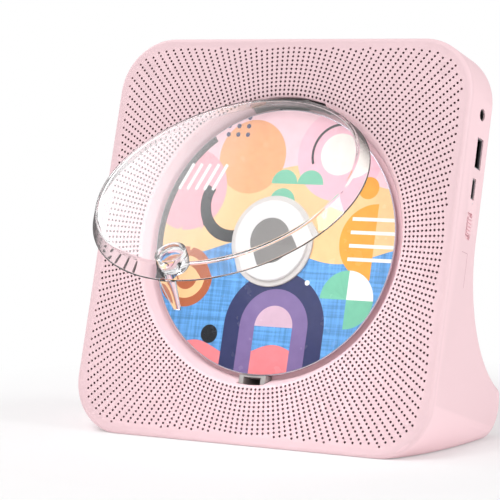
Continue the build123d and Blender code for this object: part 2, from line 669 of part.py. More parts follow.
def rounded_back(form, radius):
    """Rounds the edges where the back meets the sides and the top."""
    rim = []
    for edge in form.edges():
        middle = edge @ 0.5
        box = edge.bounding_box()
        behind = middle.Z < -BACK_DEPTH + WALL * 2
        low = to_world_height(middle.Y, middle.Z) < PAD_HEIGHT + FOOT_HEEL_ROUND / 2
        across = box.size.X > WELL_MOUTH_RADIUS * 2 and box.size.Y < EDGE_ROUND
        at_top = middle.Y > BODY_MIDDLE
        if behind and not low and (at_top or not across):
            rim.append(edge)
    return fillet(rim, radius)


# ---------------------------------------------------------------- shells
def grille_places():
    """Centres of the through holes in front of the two speakers, on rings about the well."""
    places = []
    rings = int((SPEAKER_X + SPEAKER_V + GRILLE_FIELD) / RING_PITCH)
    for ring in range(rings):
        radius = FIRST_RING + RING_PITCH * ring
        for step in range(HOLES_PER_RING):
            angle = 2 * math.pi * step / HOLES_PER_RING
            x = radius * math.cos(angle)
            v = WELL_V + radius * math.sin(angle)
            if math.hypot(abs(x) - SPEAKER_X, v - SPEAKER_V) < GRILLE_FIELD and v < WELL_V:
                places.append((x, v))
    return places


def well_radius(depth):
    """Radius of the well's sloping wall at a depth behind the face."""
    return WELL_MOUTH_RADIUS - WELL_SPREAD * depth / WELL_DEPTH


def well_ring():
    """The funnel wall between the face and the well's floor, with its rounded lip."""
    across = WELL_WALL * math.hypot(1, WELL_SPREAD / WELL_DEPTH)
    points = [
        (WELL_MOUTH_RADIUS, 0),
        (WELL_HEM_RADIUS, 0),
        (WELL_HEM_RADIUS, -FACE_WALL),
        (well_radius(FACE_WALL) + across, -FACE_WALL),
        (WELL_FLOOR_RADIUS + across, DECK_TOP),
        (WELL_FLOOR_RADIUS, DECK_TOP),
    ]
    return revolved(points, 0, WELL_V, (WELL_MOUTH_RADIUS, 0), WELL_LIP_ROUND)


def catch_slot(bottom):
    """The opening that the cover's tongue drops into, at the foot of the well."""
    slot = block(CATCH_HALF * 2, CATCH_REACH + OVERCUT * 2, FACE_WALL, bottom, 0, CATCH_V)
    slot = slot & post(CATCH_OUTER, FACE_WALL, bottom, 0, WELL_V)
    return slot - post(CATCH_INNER, FACE_WALL, bottom, 0, WELL_V)


def front_cover():
    shell = plate(body_outline(0), 0, -SEAM_DEPTH)
    rim = shell.faces().sort_by(Axis.Z)[-1].edges()
    shell = fillet(rim, EDGE_ROUND)
    lip_outside = WALL + LIP_CLEARANCE
    lip_inside = lip_outside + LIP_WALL
    shell -= plate(body_outline(lip_inside), -FACE_WALL, -SEAM_DEPTH)
    lip = body_outline(lip_outside) - body_outline(lip_inside)
    shell += plate(lip, -SEAM_DEPTH, -LIP_DEPTH) & body_form(lip_outside)
    shell -= post(WELL_HEM_RADIUS, 0, -FACE_WALL, 0, WELL_V)
    shell += well_ring()
    shell -= sector(NOTCH_RADIUS, NOTCH_HALF, FACE_WALL, DECK_TOP)
    shell -= catch_slot(DECK_TOP)
    for x, v in COVER_SCREWS:
        shell += post(COVER_BOSS_RADIUS, -FACE_WALL, -COVER_BOSS_MEET, x, v)
        shell -= post(SCREW_RADIUS, -FACE_WALL - PILOT_END, -COVER_BOSS_MEET, x, v)
    for x, v in ring_places(DECK_SCREW_REACH, DECK_SCREW_ANGLES):
        shell += post(DECK_EAR_RADIUS, -FACE_WALL, DECK_TOP, x, v)
        shell -= post(SMALL_SCREW_RADIUS, -FACE_WALL - DECK_PILOT_END, DECK_TOP, x, v)
    for x, v in speaker_ear_places():
        shell += post(SPEAKER_EAR_RADIUS, -FACE_WALL, FLANGE_TOP, x, v)
        shell -= post(SMALL_SCREW_RADIUS, -FACE_WALL - SPEAKER_PILOT_END, FLANGE_TOP, x, v)
    shell -= [post(HOLE_RADIUS, OVERCUT, -FACE_WALL - CLOTH_THICKNESS, x, v) for x, v in grille_places()]
    return shell - below_ground(PAD_HEIGHT)


def port_cuts():
    """Openings in the right side for the sockets, the light and the slide switch."""
    start = HALF_WIDTH - WALL - OVERCUT
    end = HALF_WIDTH + OVERCUT
    around_port = PORT_CLEARANCE * 2
    usb_a = (USB_A_LENGTH + around_port, USB_A_HEIGHT + around_port)
    usb_c = (USB_C_LENGTH + around_port, USB_C_HEIGHT + around_port)
    slot = (SWITCH_STEM + SWITCH_TRAVEL * 2 + around_port, SWITCH_STEM / 2 + around_port)
    return [
        rod_x(JACK_BARREL_RADIUS + PORT_CLEARANCE, start, end, JACK_V, -JACK_DEPTH),
        rod_x(LED_RADIUS, start, end, LED_V, -LED_DEPTH),
        bar_x(usb_a[0], usb_a[1], start, end, USB_A_V, -USB_A_DEPTH),
        bar_x(usb_c[0], usb_c[1], start, end, USB_C_V, -USB_C_DEPTH),
        bar_x(SWITCH_LENGTH, SWITCH_HEIGHT, HALF_WIDTH - SWITCH_RECESS, end, SWITCH_V, -SWITCH_DEPTH),
        bar_x(slot[0], slot[1], start, end, SWITCH_V, -SWITCH_DEPTH),
    ]


def button_places():
    half = (len(BUTTON_NAMES) - 1) / 2
    return [((i - half) * BUTTON_PITCH, name) for i, name in enumerate(BUTTON_NAMES)]


def keyhole(x):
    front = BACK_INSIDE + OVERCUT
    back = -BACK_DEPTH - OVERCUT
    slot_v = KEYHOLE_V + KEYHOLE_RISE
    hole = post(KEYHOLE_RADIUS, front, back, x, KEYHOLE_V)
    hole += post(KEYHOLE_SLOT_RADIUS, front, back, x, slot_v)
    return hole + block(KEYHOLE_SLOT_RADIUS * 2, KEYHOLE_RISE, front, back, x, (KEYHOLE_V + slot_v) / 2)


def board_ribs():
    """The two grooved ribs that hold the ends of the button board."""
    front = -BUTTON_DEPTH + BUTTON_BOARD_WIDTH / 2
    high = BODY_TOP - WALL
    low = BUTTON_BOARD_TOP - BUTTON_BOARD_THICKNESS - RIB_WALL
    middle = BUTTON_BOARD_HALF + (RIB_WALL - BOARD_GROOVE) / 2
    ribs = []
    for x in (-middle, middle):
        ribs.append(block(RIB_WALL + BOARD_GROOVE, high - low, front, BACK_INSIDE, x, (high + low) / 2))
    return ribs


def rear_cover():
    outer = rounded_back(body_form(0), BACK_EDGE_ROUND)
    inner = rounded_back(body_form(WALL), BACK_EDGE_ROUND - WALL)
    solid = outer & block(BODY_WIDTH, BODY_HEIGHT, -SEAM_DEPTH, -DEEP, 0, BODY_MIDDLE)
    shell = solid - inner
    for x, v in COVER_SCREWS:
        shell += post(COVER_BOSS_RADIUS, -COVER_BOSS_MEET, -DEEP, x, v) & solid
        shell -= post(SCREW_RADIUS + SCREW_CLEARANCE, -COVER_BOSS_MEET, -DEEP, x, v)
        shell -= post(HEAD_WELL_RADIUS, -COVER_BOSS_MEET - COVER_BOSS_FLOOR, -DEEP, x, v)
    for x, v in BOARD_POSTS:
        shell += post(BOARD_POST_RADIUS, BOARD_BACK, -DEEP, x, v) & solid
        shell -= post(SMALL_SCREW_RADIUS, BOARD_BACK, BACK_INSIDE + BOARD_POST_FLOOR, x, v)
    for rib in board_ribs():
        shell += rib
    groove_v = BUTTON_BOARD_TOP - BUTTON_BOARD_THICKNESS / 2
    groove_height = BUTTON_BOARD_THICKNESS + BOARD_GROOVE_FIT
    groove_front = -BUTTON_DEPTH + BUTTON_BOARD_WIDTH / 2
    groove_back = -BUTTON_DEPTH - BUTTON_BOARD_WIDTH / 2
    shell -= block(BUTTON_BOARD_HALF * 2, groove_height, groove_front, groove_back, 0, groove_v)
    slot_length = BUTTON_LENGTH + BUTTON_CLEARANCE * 2
    slot_front = -BUTTON_DEPTH + BUTTON_WIDTH / 2 + BUTTON_CLEARANCE
    slot_back = -BUTTON_DEPTH - BUTTON_WIDTH / 2 - BUTTON_CLEARANCE
    for x, name in button_places():
        shell -= block(slot_length, (WALL + BUTTON_PROUD) * 2, slot_front, slot_back, x, BODY_TOP)
    for cut in port_cuts():
        shell -= cut
    for x in (-KEYHOLE_X, KEYHOLE_X):
        shell -= keyhole(x)
    return shell - base_pad()


def base_pad():
    """The soft pad under the foot, let into the rear cover."""
    sheet = Pos(0, PAD_CENTRE_Y, 0) * RectangleRounded(PAD_WIDTH, PAD_DEPTH, PAD_CORNER)
    return FACE.location.inverse() * extrude(sheet, PAD_HEIGHT + PAD_RECESS)


def grille_cloth():
    sheet = body_outline(CLOTH_MARGIN) - Pos(0, WELL_V) * Circle(CLOTH_BORE)
    cloth = plate(sheet, -FACE_WALL, CLOTH_UNDER)
    for x, v in COVER_SCREWS:
        cloth -= post(COVER_BOSS_RADIUS + CLOTH_CLEARANCE, -FACE_WALL, CLOTH_UNDER, x, v)
    for x, v in ring_places(DECK_SCREW_REACH, DECK_SCREW_ANGLES):
        cloth -= post(DECK_EAR_RADIUS + CLOTH_CLEARANCE, -FACE_WALL, CLOTH_UNDER, x, v)
    for x, v in speaker_ear_places():
        cloth -= post(SPEAKER_EAR_RADIUS + CLOTH_CLEARANCE, -FACE_WALL, CLOTH_UNDER, x, v)
    return cloth


def cover_screws():
    seat = -COVER_BOSS_MEET - COVER_BOSS_FLOOR
    tip = -FACE_WALL - SCREW_END

    def one(x, v):
        return screw(x, v, seat, tip, SCREW_RADIUS, SCREW_HEAD_RADIUS, SCREW_HEAD_HEIGHT)

    return around(COVER_SCREWS, one)


# ---------------------------------------------------------------- dust cover
def opened(piece):
    """Swings a piece of the closed cover up about the hinge line."""
    to_hinge = Pos(0, HINGE_V, -HINGE_DEPTH)
    return to_hinge * Rot(-LID_OPEN, 0, 0) * to_hinge.inverse() * piece


def dust_cover():
    inside = LID_TOP - LID_PLATE_WALL
    points = [
        (0, LID_TOP),
        (LID_PLATE_RADIUS, LID_TOP),
        (LID_RIM_RADIUS, -LID_RIM_DEPTH),
        (LID_RIM_RADIUS - LID_WALL, -LID_RIM_DEPTH),
        (LID_PLATE_RADIUS - LID_WALL + LID_WALL_THINNING, inside),
        (0, inside),
    ]
    cover = revolved(points, 0, WELL_V, (LID_PLATE_RADIUS, LID_TOP), LID_ROUND)
    cover -= post(KNOB_RADIUS, LID_TOP, -LID_RIM_DEPTH, 0, KNOB_V)
    leaf_root = LID_RIM_RADIUS - LEAF_ROOT
    leaf_low = -LEAF_TOP - LEAF_THICKNESS
    leaf = block(KNUCKLE_HALF * 2, LEAF_ROOT * 2, -LEAF_TOP, leaf_low, 0, HINGE_V - LEAF_ROOT)
    cover += leaf - post(leaf_root, -LEAF_TOP, leaf_low, 0, WELL_V)
    cover += rod_x(KNUCKLE_RADIUS, -KNUCKLE_HALF, KNUCKLE_HALF, HINGE_V, -HINGE_DEPTH)
    cover -= rod_x(PIN_RADIUS + RUNNING_FIT, -KNUCKLE_HALF, KNUCKLE_HALF, HINGE_V, -HINGE_DEPTH)
    cover += lid_tongue()
    return opened(cover)


def lid_tongue():
    """The tapering latch tongue that hangs from the cover's free edge."""
    rim = WELL_V - LID_RIM_RADIUS
    root_v = rim - TONGUE_ROOT
    tip_v = rim - TONGUE_LEAN
    root = -LID_RIM_DEPTH + TONGUE_OVERLAP
    tip = -LID_RIM_DEPTH - TONGUE_LENGTH
    side = Polyline(
        (root_v + TONGUE_THICKNESS, root),
        (root_v, root),
        (tip_v, tip),
        (tip_v + TONGUE_TIP_THICKNESS, tip),
        close=True,
    )
    front = Polyline(
        (-TONGUE_HALF, root),
        (TONGUE_HALF, root),
        (TONGUE_TIP_HALF, tip),
        (-TONGUE_TIP_HALF, tip),
        close=True,
    )
    side_plane = Plane(origin=(-TONGUE_HALF, 0, 0), x_dir=(0, 1, 0), z_dir=(1, 0, 0))
    front_plane = Plane(origin=(0, rim + TONGUE_LENGTH, 0), x_dir=(1, 0, 0), z_dir=(0, -1, 0))
    thick = extrude(side_plane * make_face(side), TONGUE_HALF * 2)
    return thick & extrude(front_plane * make_face(front), TONGUE_LENGTH * 2)


def lid_knob():
    """The round finger hold, dished on top and rounded like a bowl below."""
    top = LID_TOP + KNOB_PROUD
    knob = post(KNOB_RADIUS, top, -LID_RIM_DEPTH, 0, KNOB_V)
    knob = fillet(bottom_edge(knob), KNOB_BOWL)
    knob = fillet(top_edge(knob), KNOB_ROUND)
    knob -= post(KNOB_RADIUS - KNOB_RING, top, top - KNOB_DISH, 0, KNOB_V)
    return opened(knob)


def hinge_pin():
    half = KNUCKLE_HALF + EAR_GAP + EAR_WIDTH
    return rod_x(PIN_RADIUS, -half, half, HINGE_V, -HINGE_DEPTH)


def hinge_bracket():
    """The bracket in the notch, which fills out the well's wall and holds the hinge pin."""
    foot_top = DECK_TOP + BRACKET_FOOT_HEIGHT
    foot_radius = BRACKET_RADIUS + BRACKET_FOOT
    points = [
        (BRACKET_RADIUS, -BRACKET_TOP),
        (BRACKET_RADIUS, foot_top),
        (foot_radius, foot_top),
        (foot_radius, DECK_TOP),
        (WELL_FLOOR_RADIUS, DECK_TOP),
        (well_radius(BRACKET_TOP), -BRACKET_TOP),
    ]
    bracket = revolved(points, 0, WELL_V)
    bracket = bracket & sector(foot_radius, NOTCH_HALF - SEAT_CLEARANCE, -BRACKET_TOP, DECK_TOP)
    ear_x = KNUCKLE_HALF + EAR_GAP + EAR_WIDTH / 2
    ear_v = HINGE_V + (EAR_OUTSIDE - EAR_INSIDE) / 2
    for x in (-ear_x, ear_x):
        bracket += block(EAR_WIDTH, EAR_OUTSIDE + EAR_INSIDE, -HINGE_DEPTH + EAR_FRONT, -EAR_FOOT, x, ear_v)
    for x, v in ring_places(PEG_REACH, PEG_ANGLES):
        bracket += post(PEG_RADIUS, DECK_TOP, DECK_UNDER + PEG_SHORT, x, v)
    return bracket - hinge_pin()


def lid_catch():
    """The latch on the deck, with a neck in the slot and a pocket that takes the tongue."""
    bottom = DECK_UNDER - CATCH_DEPTH
    inner = CATCH_INNER + SEAT_CLEARANCE
    outer = CATCH_OUTER - SEAT_CLEARANCE
    neck_width = (CATCH_HALF - SEAT_CLEARANCE) * 2
    neck = tube(outer, inner, -CATCH_TOP, DECK_UNDER, 0, WELL_V)
    neck = neck & block(neck_width, CATCH_REACH + OVERCUT * 2, -CATCH_TOP, DECK_UNDER, 0, CATCH_V)
    body = block((CATCH_HALF + CATCH_WALL) * 2, CATCH_REACH + CATCH_WALL * 2, DECK_UNDER, bottom, 0, CATCH_V)
    pocket_width = (TONGUE_HALF + TONGUE_CLEARANCE) * 2
    pocket_high = WELL_V - inner - CATCH_NECK_WALL
    pocket_low = WELL_V - CATCH_OUTER
    pocket_v = (pocket_high + pocket_low) / 2
    pocket = block(pocket_width, pocket_high - pocket_low, -CATCH_TOP, bottom + CATCH_FLOOR, 0, pocket_v)
    return body + neck - pocket


# ---------------------------------------------------------------- disc drive
def lens_slot(top, bottom):
    """The slot through the deck and the chassis that the lens looks through."""
    middle = WELL_V + (SLOT_START + SLOT_END) / 2
    return block(SLOT_HALF * 2, SLOT_END - SLOT_START, top, bottom, 0, middle)


def damper_places():
    return [(x, WELL_V + v) for x, v in DAMPER_PLACES]


def deck():
    floor = post(DECK_RADIUS, DECK_TOP, DECK_UNDER, 0, WELL_V)
    for reach in (DECK_SCREW_REACH, DECK_RADIUS):
        for x, v in ring_places(reach, DECK_SCREW_ANGLES):
            floor += post(DECK_EAR_RADIUS, DECK_TOP, DECK_UNDER, x, v)
    for x, v in ring_places(DECK_SCREW_REACH, DECK_SCREW_ANGLES):
        floor -= post(SMALL_SCREW_RADIUS + SMALL_SCREW_CLEARANCE, DECK_TOP, DECK_UNDER, x, v)
    for x, v in ring_places(PEG_REACH, PEG_ANGLES):
        floor -= post(PEG_RADIUS + PEG_FIT, DECK_TOP, DECK_UNDER, x, v)
    for x, v in damper_places():
        floor -= post(SMALL_SCREW_RADIUS, DECK_TOP, DECK_UNDER, x, v)
    floor -= post(TABLE_BOSS_RADIUS + DECK_BORE_MARGIN, DECK_TOP, DECK_UNDER, 0, WELL_V)
    floor -= lens_slot(DECK_TOP, DECK_UNDER)
    return floor - catch_slot(DECK_UNDER)


def deck_screws():
    tip = -FACE_WALL - DECK_SCREW_END

    def one(x, v):
        return screw(x, v, DECK_UNDER, tip, SMALL_SCREW_RADIUS, SMALL_HEAD_RADIUS, SMALL_HEAD_HEIGHT)

    return around(ring_places(DECK_SCREW_REACH, DECK_SCREW_ANGLES), one)


def disc():
    body = tube(DISC_RADIUS, DISC_BORE_RADIUS, DISC_TOP, DISC_UNDER, 0, WELL_V)
    return fillet(body.edges().filter_by(GeomType.CIRCLE), DISC_EDGE_ROUND)


def turntable():
    """The platform under the disc, with the cone that centres it and a boss on the shaft."""
    cone_top = DISC_UNDER + CONE_HEIGHT
    cone_radius = DISC_BORE_RADIUS - HUB_FIT
    table_under = DISC_UNDER - TABLE_THICKNESS
    boss_bottom = table_under - TABLE_BOSS_LENGTH
    points = [
        (0, cone_top),
        (cone_radius - CONE_TAPER, cone_top),
        (cone_radius, DISC_TOP),
        (cone_radius, DISC_UNDER),
        (TABLE_RADIUS, DISC_UNDER),
        (TABLE_RADIUS, table_under),
        (TABLE_BOSS_RADIUS, table_under),
        (TABLE_BOSS_RADIUS, boss_bottom),
        (0, boss_bottom),
    ]
    table = revolved(points, 0, WELL_V)
    return table - post(SHAFT_RADIUS, DISC_TOP, boss_bottom, 0, WELL_V)


def clamp_puck():
    top = DISC_TOP + PUCK_HEIGHT
    puck = fillet(top_edge(post(PUCK_RADIUS, top, DISC_TOP, 0, WELL_V)), PUCK_ROUND)
    puck -= post(CAP_RADIUS, top, top - CAP_THICKNESS, 0, WELL_V)
    puck -= post(MAGNET_RADIUS, top, top - CAP_THICKNESS - MAGNET_THICKNESS, 0, WELL_V)
    hollow_top = DISC_UNDER + CONE_HEIGHT + SEAT_CLEARANCE
    return puck - post(DISC_BORE_RADIUS + SEAT_CLEARANCE, hollow_top, DISC_TOP, 0, WELL_V)


def puck_ring():
    ring = tube(PUCK_RING_RADIUS, PUCK_RADIUS, DISC_TOP + PUCK_RING_HEIGHT, DISC_TOP, 0, WELL_V)
    outer_rim = ring.edges().filter_by(GeomType.CIRCLE).sort_by(SortBy.RADIUS)[-2:]
    return fillet(outer_rim.sort_by(Axis.Z)[-1], PUCK_RING_ROUND)


def puck_cap():
    top = DISC_TOP + PUCK_HEIGHT
    return fillet(top_edge(post(CAP_RADIUS, top, top - CAP_THICKNESS, 0, WELL_V)), CAP_ROUND)


def puck_magnet():
    top = DISC_TOP + PUCK_HEIGHT - CAP_THICKNESS
    return post(MAGNET_RADIUS, top, top - MAGNET_THICKNESS, 0, WELL_V)


def spindle_shaft():
    return post(SHAFT_RADIUS, DISC_TOP, CHASSIS_UNDER - SPINDLE_MOTOR_HEIGHT + SHAFT_END, 0, WELL_V)


def spindle_motor():
    bottom = CHASSIS_UNDER - SPINDLE_MOTOR_HEIGHT
    body = fillet(bottom_edge(post(SPINDLE_MOTOR_RADIUS, CHASSIS_UNDER, bottom, 0, WELL_V)), MOTOR_EDGE_ROUND)
    bore_end = bottom + SHAFT_END - SHAFT_END_PLAY
    return body - post(SHAFT_RADIUS + RUNNING_FIT, CHASSIS_UNDER, bore_end, 0, WELL_V)


def motor_pillar_places():
    return ring_places(SLED_MOTOR_RADIUS - PILLAR_INSET, PILLAR_ANGLES, MOTOR_X, GEAR_V)


def chassis():
    """The sheet that carries the motors, rails and gears, hung from the deck on rubber."""
    height = CHASSIS_UP + CHASSIS_DOWN
    middle = WELL_V + (CHASSIS_UP - CHASSIS_DOWN) / 2
    sheet = block(CHASSIS_HALF * 2, height, CHASSIS_TOP, CHASSIS_UNDER, 0, middle)
    sheet = fillet(sheet.edges().filter_by(Axis.Z), CHASSIS_CORNER)
    sheet -= lens_slot(CHASSIS_TOP, CHASSIS_UNDER)
    sheet -= post(TABLE_BOSS_RADIUS + CHASSIS_BORE_MARGIN, CHASSIS_TOP, CHASSIS_UNDER, 0, WELL_V)
    for x, v in damper_places():
        sheet -= post(DAMPER_WAIST, CHASSIS_TOP, CHASSIS_UNDER, x, v)
    block_bottom = -RAIL_DEPTH - RAIL_RADIUS - RAIL_BLOCK_FLOOR
    block_places = (
        WELL_V + RAIL_START + RAIL_BLOCK_LENGTH / 2,
        RAIL_END - RAIL_BLOCK_LENGTH / 2,
    )
    for x in (-RAIL_X, RAIL_X):
        for v in block_places:
            sheet += block(RAIL_BLOCK_WIDTH, RAIL_BLOCK_LENGTH, CHASSIS_UNDER, block_bottom, x, v)
    for x, v in motor_pillar_places():
        sheet += post(PILLAR_RADIUS, CHASSIS_UNDER, SLED_MOTOR_TOP, x, v)
    sheet -= post(POST_RADIUS, CHASSIS_TOP, CHASSIS_UNDER, GEAR_X, GEAR_V)
    for x, v in ring_places(DECK_SCREW_REACH, DECK_SCREW_ANGLES):
        sheet -= post(SMALL_HEAD_RADIUS + DECK_SCREW_ROOM, CHASSIS_TOP, CHASSIS_UNDER, x, v)
    return sheet - guide_rails()


def dampers():
    bore = SMALL_SCREW_RADIUS + RUNNING_FIT
    points = [
        (bore, DECK_UNDER),
        (DAMPER_RADIUS, DECK_UNDER),
        (DAMPER_RADIUS, CHASSIS_TOP),
        (DAMPER_WAIST, CHASSIS_TOP),
        (DAMPER_WAIST, CHASSIS_UNDER),
        (DAMPER_RADIUS, CHASSIS_UNDER),
        (DAMPER_RADIUS, DAMPER_BOTTOM),
        (bore, DAMPER_BOTTOM),
    ]
    return around(damper_places(), lambda x, v: revolved(points, x, v))


def damper_screws():
    tip = DECK_TOP - DAMPER_SCREW_SHORT

    def one(x, v):
        return screw(x, v, DAMPER_BOTTOM, tip, SMALL_SCREW_RADIUS, DAMPER_HEAD_RADIUS, SMALL_HEAD_HEIGHT)

    return around(damper_places(), one)


def guide_rails():
    start = WELL_V + RAIL_START
    return grouped([rod_v(RAIL_RADIUS, start, RAIL_END, x, -RAIL_DEPTH) for x in (-RAIL_X, RAIL_X)])


def rack_teeth():
    """The sled's rack as a flat outline, with one gap lined up on the feed gear."""
    pitch = math.pi * RACK_MODULE
    tip = ADDENDUM * RACK_MODULE
    root = DEDENDUM * RACK_MODULE
    lean = math.tan(math.radians(PRESSURE_ANGLE))
    half = (pitch / 2 - BACKLASH) / 2
    low = SLED_V - RACK_BEHIND
    high = SLED_V + RACK_AHEAD
    first = math.ceil((low - GEAR_V) / pitch + 1)
    last = math.floor((high - GEAR_V) / pitch - 1)
    points = [(RACK_BACK, low), (RACK_LINE - root, low)]
    for count in range(first, last):
        centre = GEAR_V + (count + 0.5) * pitch
        points.append((RACK_LINE - root, centre - half - root * lean))
        points.append((RACK_LINE + tip, centre - half + tip * lean))
        points.append((RACK_LINE + tip, centre + half - tip * lean))
        points.append((RACK_LINE - root, centre + half + root * lean))
    points += [(RACK_LINE - root, high), (RACK_BACK, high)]
    return make_face(Polyline(*points, close=True))


def sled():
    """The carriage of the lens: a body on two rails, with a tower, a yoke and a rack."""
    length = SLED_HALF_LENGTH * 2
    arm_top = -RAIL_DEPTH + RAIL_RADIUS - ARM_DROP
    body = block(SLED_HALF_WIDTH * 2, length, -SLED_TOP, -SLED_BOTTOM, 0, SLED_V)
    body += block(SLED_END * 2, ARM_HALF_LENGTH * 2, arm_top, -SLED_BOTTOM, 0, SLED_V)
    body += block(RAIL_BLOCK_WIDTH, length, -SLED_TOP, -SLED_BOTTOM, -RAIL_X, SLED_V)
    bore = RAIL_RADIUS + RUNNING_FIT
    for x in (-RAIL_X, RAIL_X):
        body -= rod_v(bore, SLED_V - SLED_HALF_LENGTH, SLED_V + SLED_HALF_LENGTH, x, -RAIL_DEPTH)
    body -= block(bore * 2, length, -SLED_TOP, -RAIL_DEPTH, RAIL_X, SLED_V)
    body += block(TOWER_HALF_WIDTH * 2, TOWER_HALF_LENGTH * 2, -TOWER_TOP, -SLED_TOP, 0, SLED_V)
    yoke_x = TOWER_HALF_WIDTH - YOKE_THICKNESS / 2
    for x in (-yoke_x, yoke_x):
        body += block(YOKE_THICKNESS, TOWER_HALF_LENGTH * 2, -YOKE_TOP, -TOWER_TOP, x, SLED_V)
    rack_top = WHEEL_UNDER - GEAR_GAP
    rack_bottom = rack_top - RACK_THICKNESS
    body += plate(rack_teeth(), rack_top, rack_bottom)
    link_width = RACK_BACK + LINK_OVERLAP - SLED_HALF_WIDTH
    link_x = SLED_HALF_WIDTH + link_width / 2
    body += block(link_width, LINK_HALF_LENGTH * 2, rack_top, rack_bottom, link_x, SLED_V)
    return body


def lens_holder():
    body = block(HOLDER_HALF_WIDTH * 2, HOLDER_HALF_LENGTH * 2, -HOLDER_TOP, -HOLDER_BOTTOM, 0, SLED_V)
    body = fillet(body.edges().filter_by(Axis.Z), HOLDER_CORNER)
    return body - post(LENS_RADIUS, -HOLDER_TOP, -HOLDER_BOTTOM, 0, SLED_V)


def objective_lens():
    back = -HOLDER_BOTTOM + LENS_SEAT
    points = [
        (0, -LENS_TOP),
        (LENS_RADIUS * LENS_CROWN_AT[0], -LENS_TOP - (HOLDER_TOP - LENS_TOP) * LENS_CROWN_DROP[0]),
        (LENS_RADIUS * LENS_CROWN_AT[1], -LENS_TOP - (HOLDER_TOP - LENS_TOP) * LENS_CROWN_DROP[1]),
        (LENS_RADIUS, -HOLDER_TOP),
        (LENS_RADIUS, back),
        (0, back),
    ]
    return revolved(points, 0, SLED_V)


# ---------------------------------------------------------------- gears
def involute(base_radius, radius):
    """Angle by which an involute has turned when it reaches a radius."""
    if radius <= base_radius:
        return 0.0
    roll = math.sqrt((radius / base_radius) ** 2 - 1)
    return roll - math.atan(roll)


def gear_outline(module, teeth, phase):
    """A spur gear's outline about the origin; phase turns the middle of a tooth, in radians."""
    pitch_radius = module * teeth / 2
    base_radius = pitch_radius * math.cos(math.radians(PRESSURE_ANGLE))
    tip_radius = pitch_radius + ADDENDUM * module
    root_radius = pitch_radius - DEDENDUM * module
    half_tooth = (math.pi * module / 2 - BACKLASH) / 2 / pitch_radius
    half_base = half_tooth + involute(base_radius, pitch_radius)
    start = max(base_radius, root_radius)
    flank = [(root_radius, half_base)] if root_radius < start else []
    for step in range(FLANK_STEPS + 1):
        radius = start + (tip_radius - start) * step / FLANK_STEPS
        flank.append((radius, half_base - involute(base_radius, radius)))
    points = []
    for tooth in range(teeth):
        middle = phase + 2 * math.pi * tooth / teeth
        for radius, angle in flank:
            points.append((radius * math.cos(middle - angle), radius * math.sin(middle - angle)))
        for radius, angle in reversed(flank):
            points.append((radius * math.cos(middle + angle), radius * math.sin(middle + angle)))
    return make_face(Polyline(*points, close=True))


def feed_gear():
    """A large wheel driven by the motor and a small pinion that moves the rack, in one piece."""
    wheel = plate(gear_outline(WHEEL_MODULE, WHEEL_TEETH, 0), WHEEL_TOP, WHEEL_UNDER)
    pinion = plate(gear_outline(RACK_MODULE, PINION_TEETH, math.pi), WHEEL_UNDER, PINION_UNDER)
    gear = Pos(GEAR_X, GEAR_V, 0) * (wheel + pinion)
    return gear - post(POST_RADIUS + RUNNING_FIT, WHEEL_TOP, PINION_UNDER, GEAR_X, GEAR_V)


def gear_post():
    head_top = PINION_UNDER - POST_PLAY
    pin = post(POST_RADIUS, CHASSIS_TOP, head_top, GEAR_X, GEAR_V)
    return pin + post(POST_HEAD_RADIUS, head_top, head_top - POST_HEAD_HEIGHT, GEAR_X, GEAR_V)


def motor_pinion():
    half_tooth_turn = math.pi / MOTOR_TEETH
    outline = gear_outline(WHEEL_MODULE, MOTOR_TEETH, math.pi + half_tooth_turn)
    pinion = Pos(MOTOR_X, GEAR_V, 0) * plate(outline, WHEEL_TOP, WHEEL_UNDER)
    shaft_end = SLED_MOTOR_TOP - MOTOR_SHAFT_DEPTH
    return pinion + post(MOTOR_SHAFT_RADIUS, WHEEL_UNDER, shaft_end, MOTOR_X, GEAR_V)


def sled_motor():
    bottom = SLED_MOTOR_TOP - SLED_MOTOR_HEIGHT
    body = post(SLED_MOTOR_RADIUS, SLED_MOTOR_TOP, bottom, MOTOR_X, GEAR_V)
    body = fillet(bottom_edge(body), SLED_MOTOR_ROUND)
    bore_end = SLED_MOTOR_TOP - MOTOR_SHAFT_DEPTH - MOTOR_SHAFT_PLAY
    return body - post(MOTOR_SHAFT_RADIUS + RUNNING_FIT, SLED_MOTOR_TOP, bore_end, MOTOR_X, GEAR_V)


# ---------------------------------------------------------------- speakers
def speaker_ear_places(sides=(-1, 1)):
    places = []
    for side in sides:
        for x, v in ring_places(SPEAKER_EAR_REACH, SPEAKER_EAR_ANGLES, SPEAKER_X, SPEAKER_V):
            places.append((side * x, v))
    return places


def speaker_gasket(side):
    inside = SPEAKER_RADIUS - GASKET_WIDTH
    return tube(SPEAKER_RADIUS, inside, CLOTH_UNDER, FLANGE_TOP, side * SPEAKER_X, SPEAKER_V)


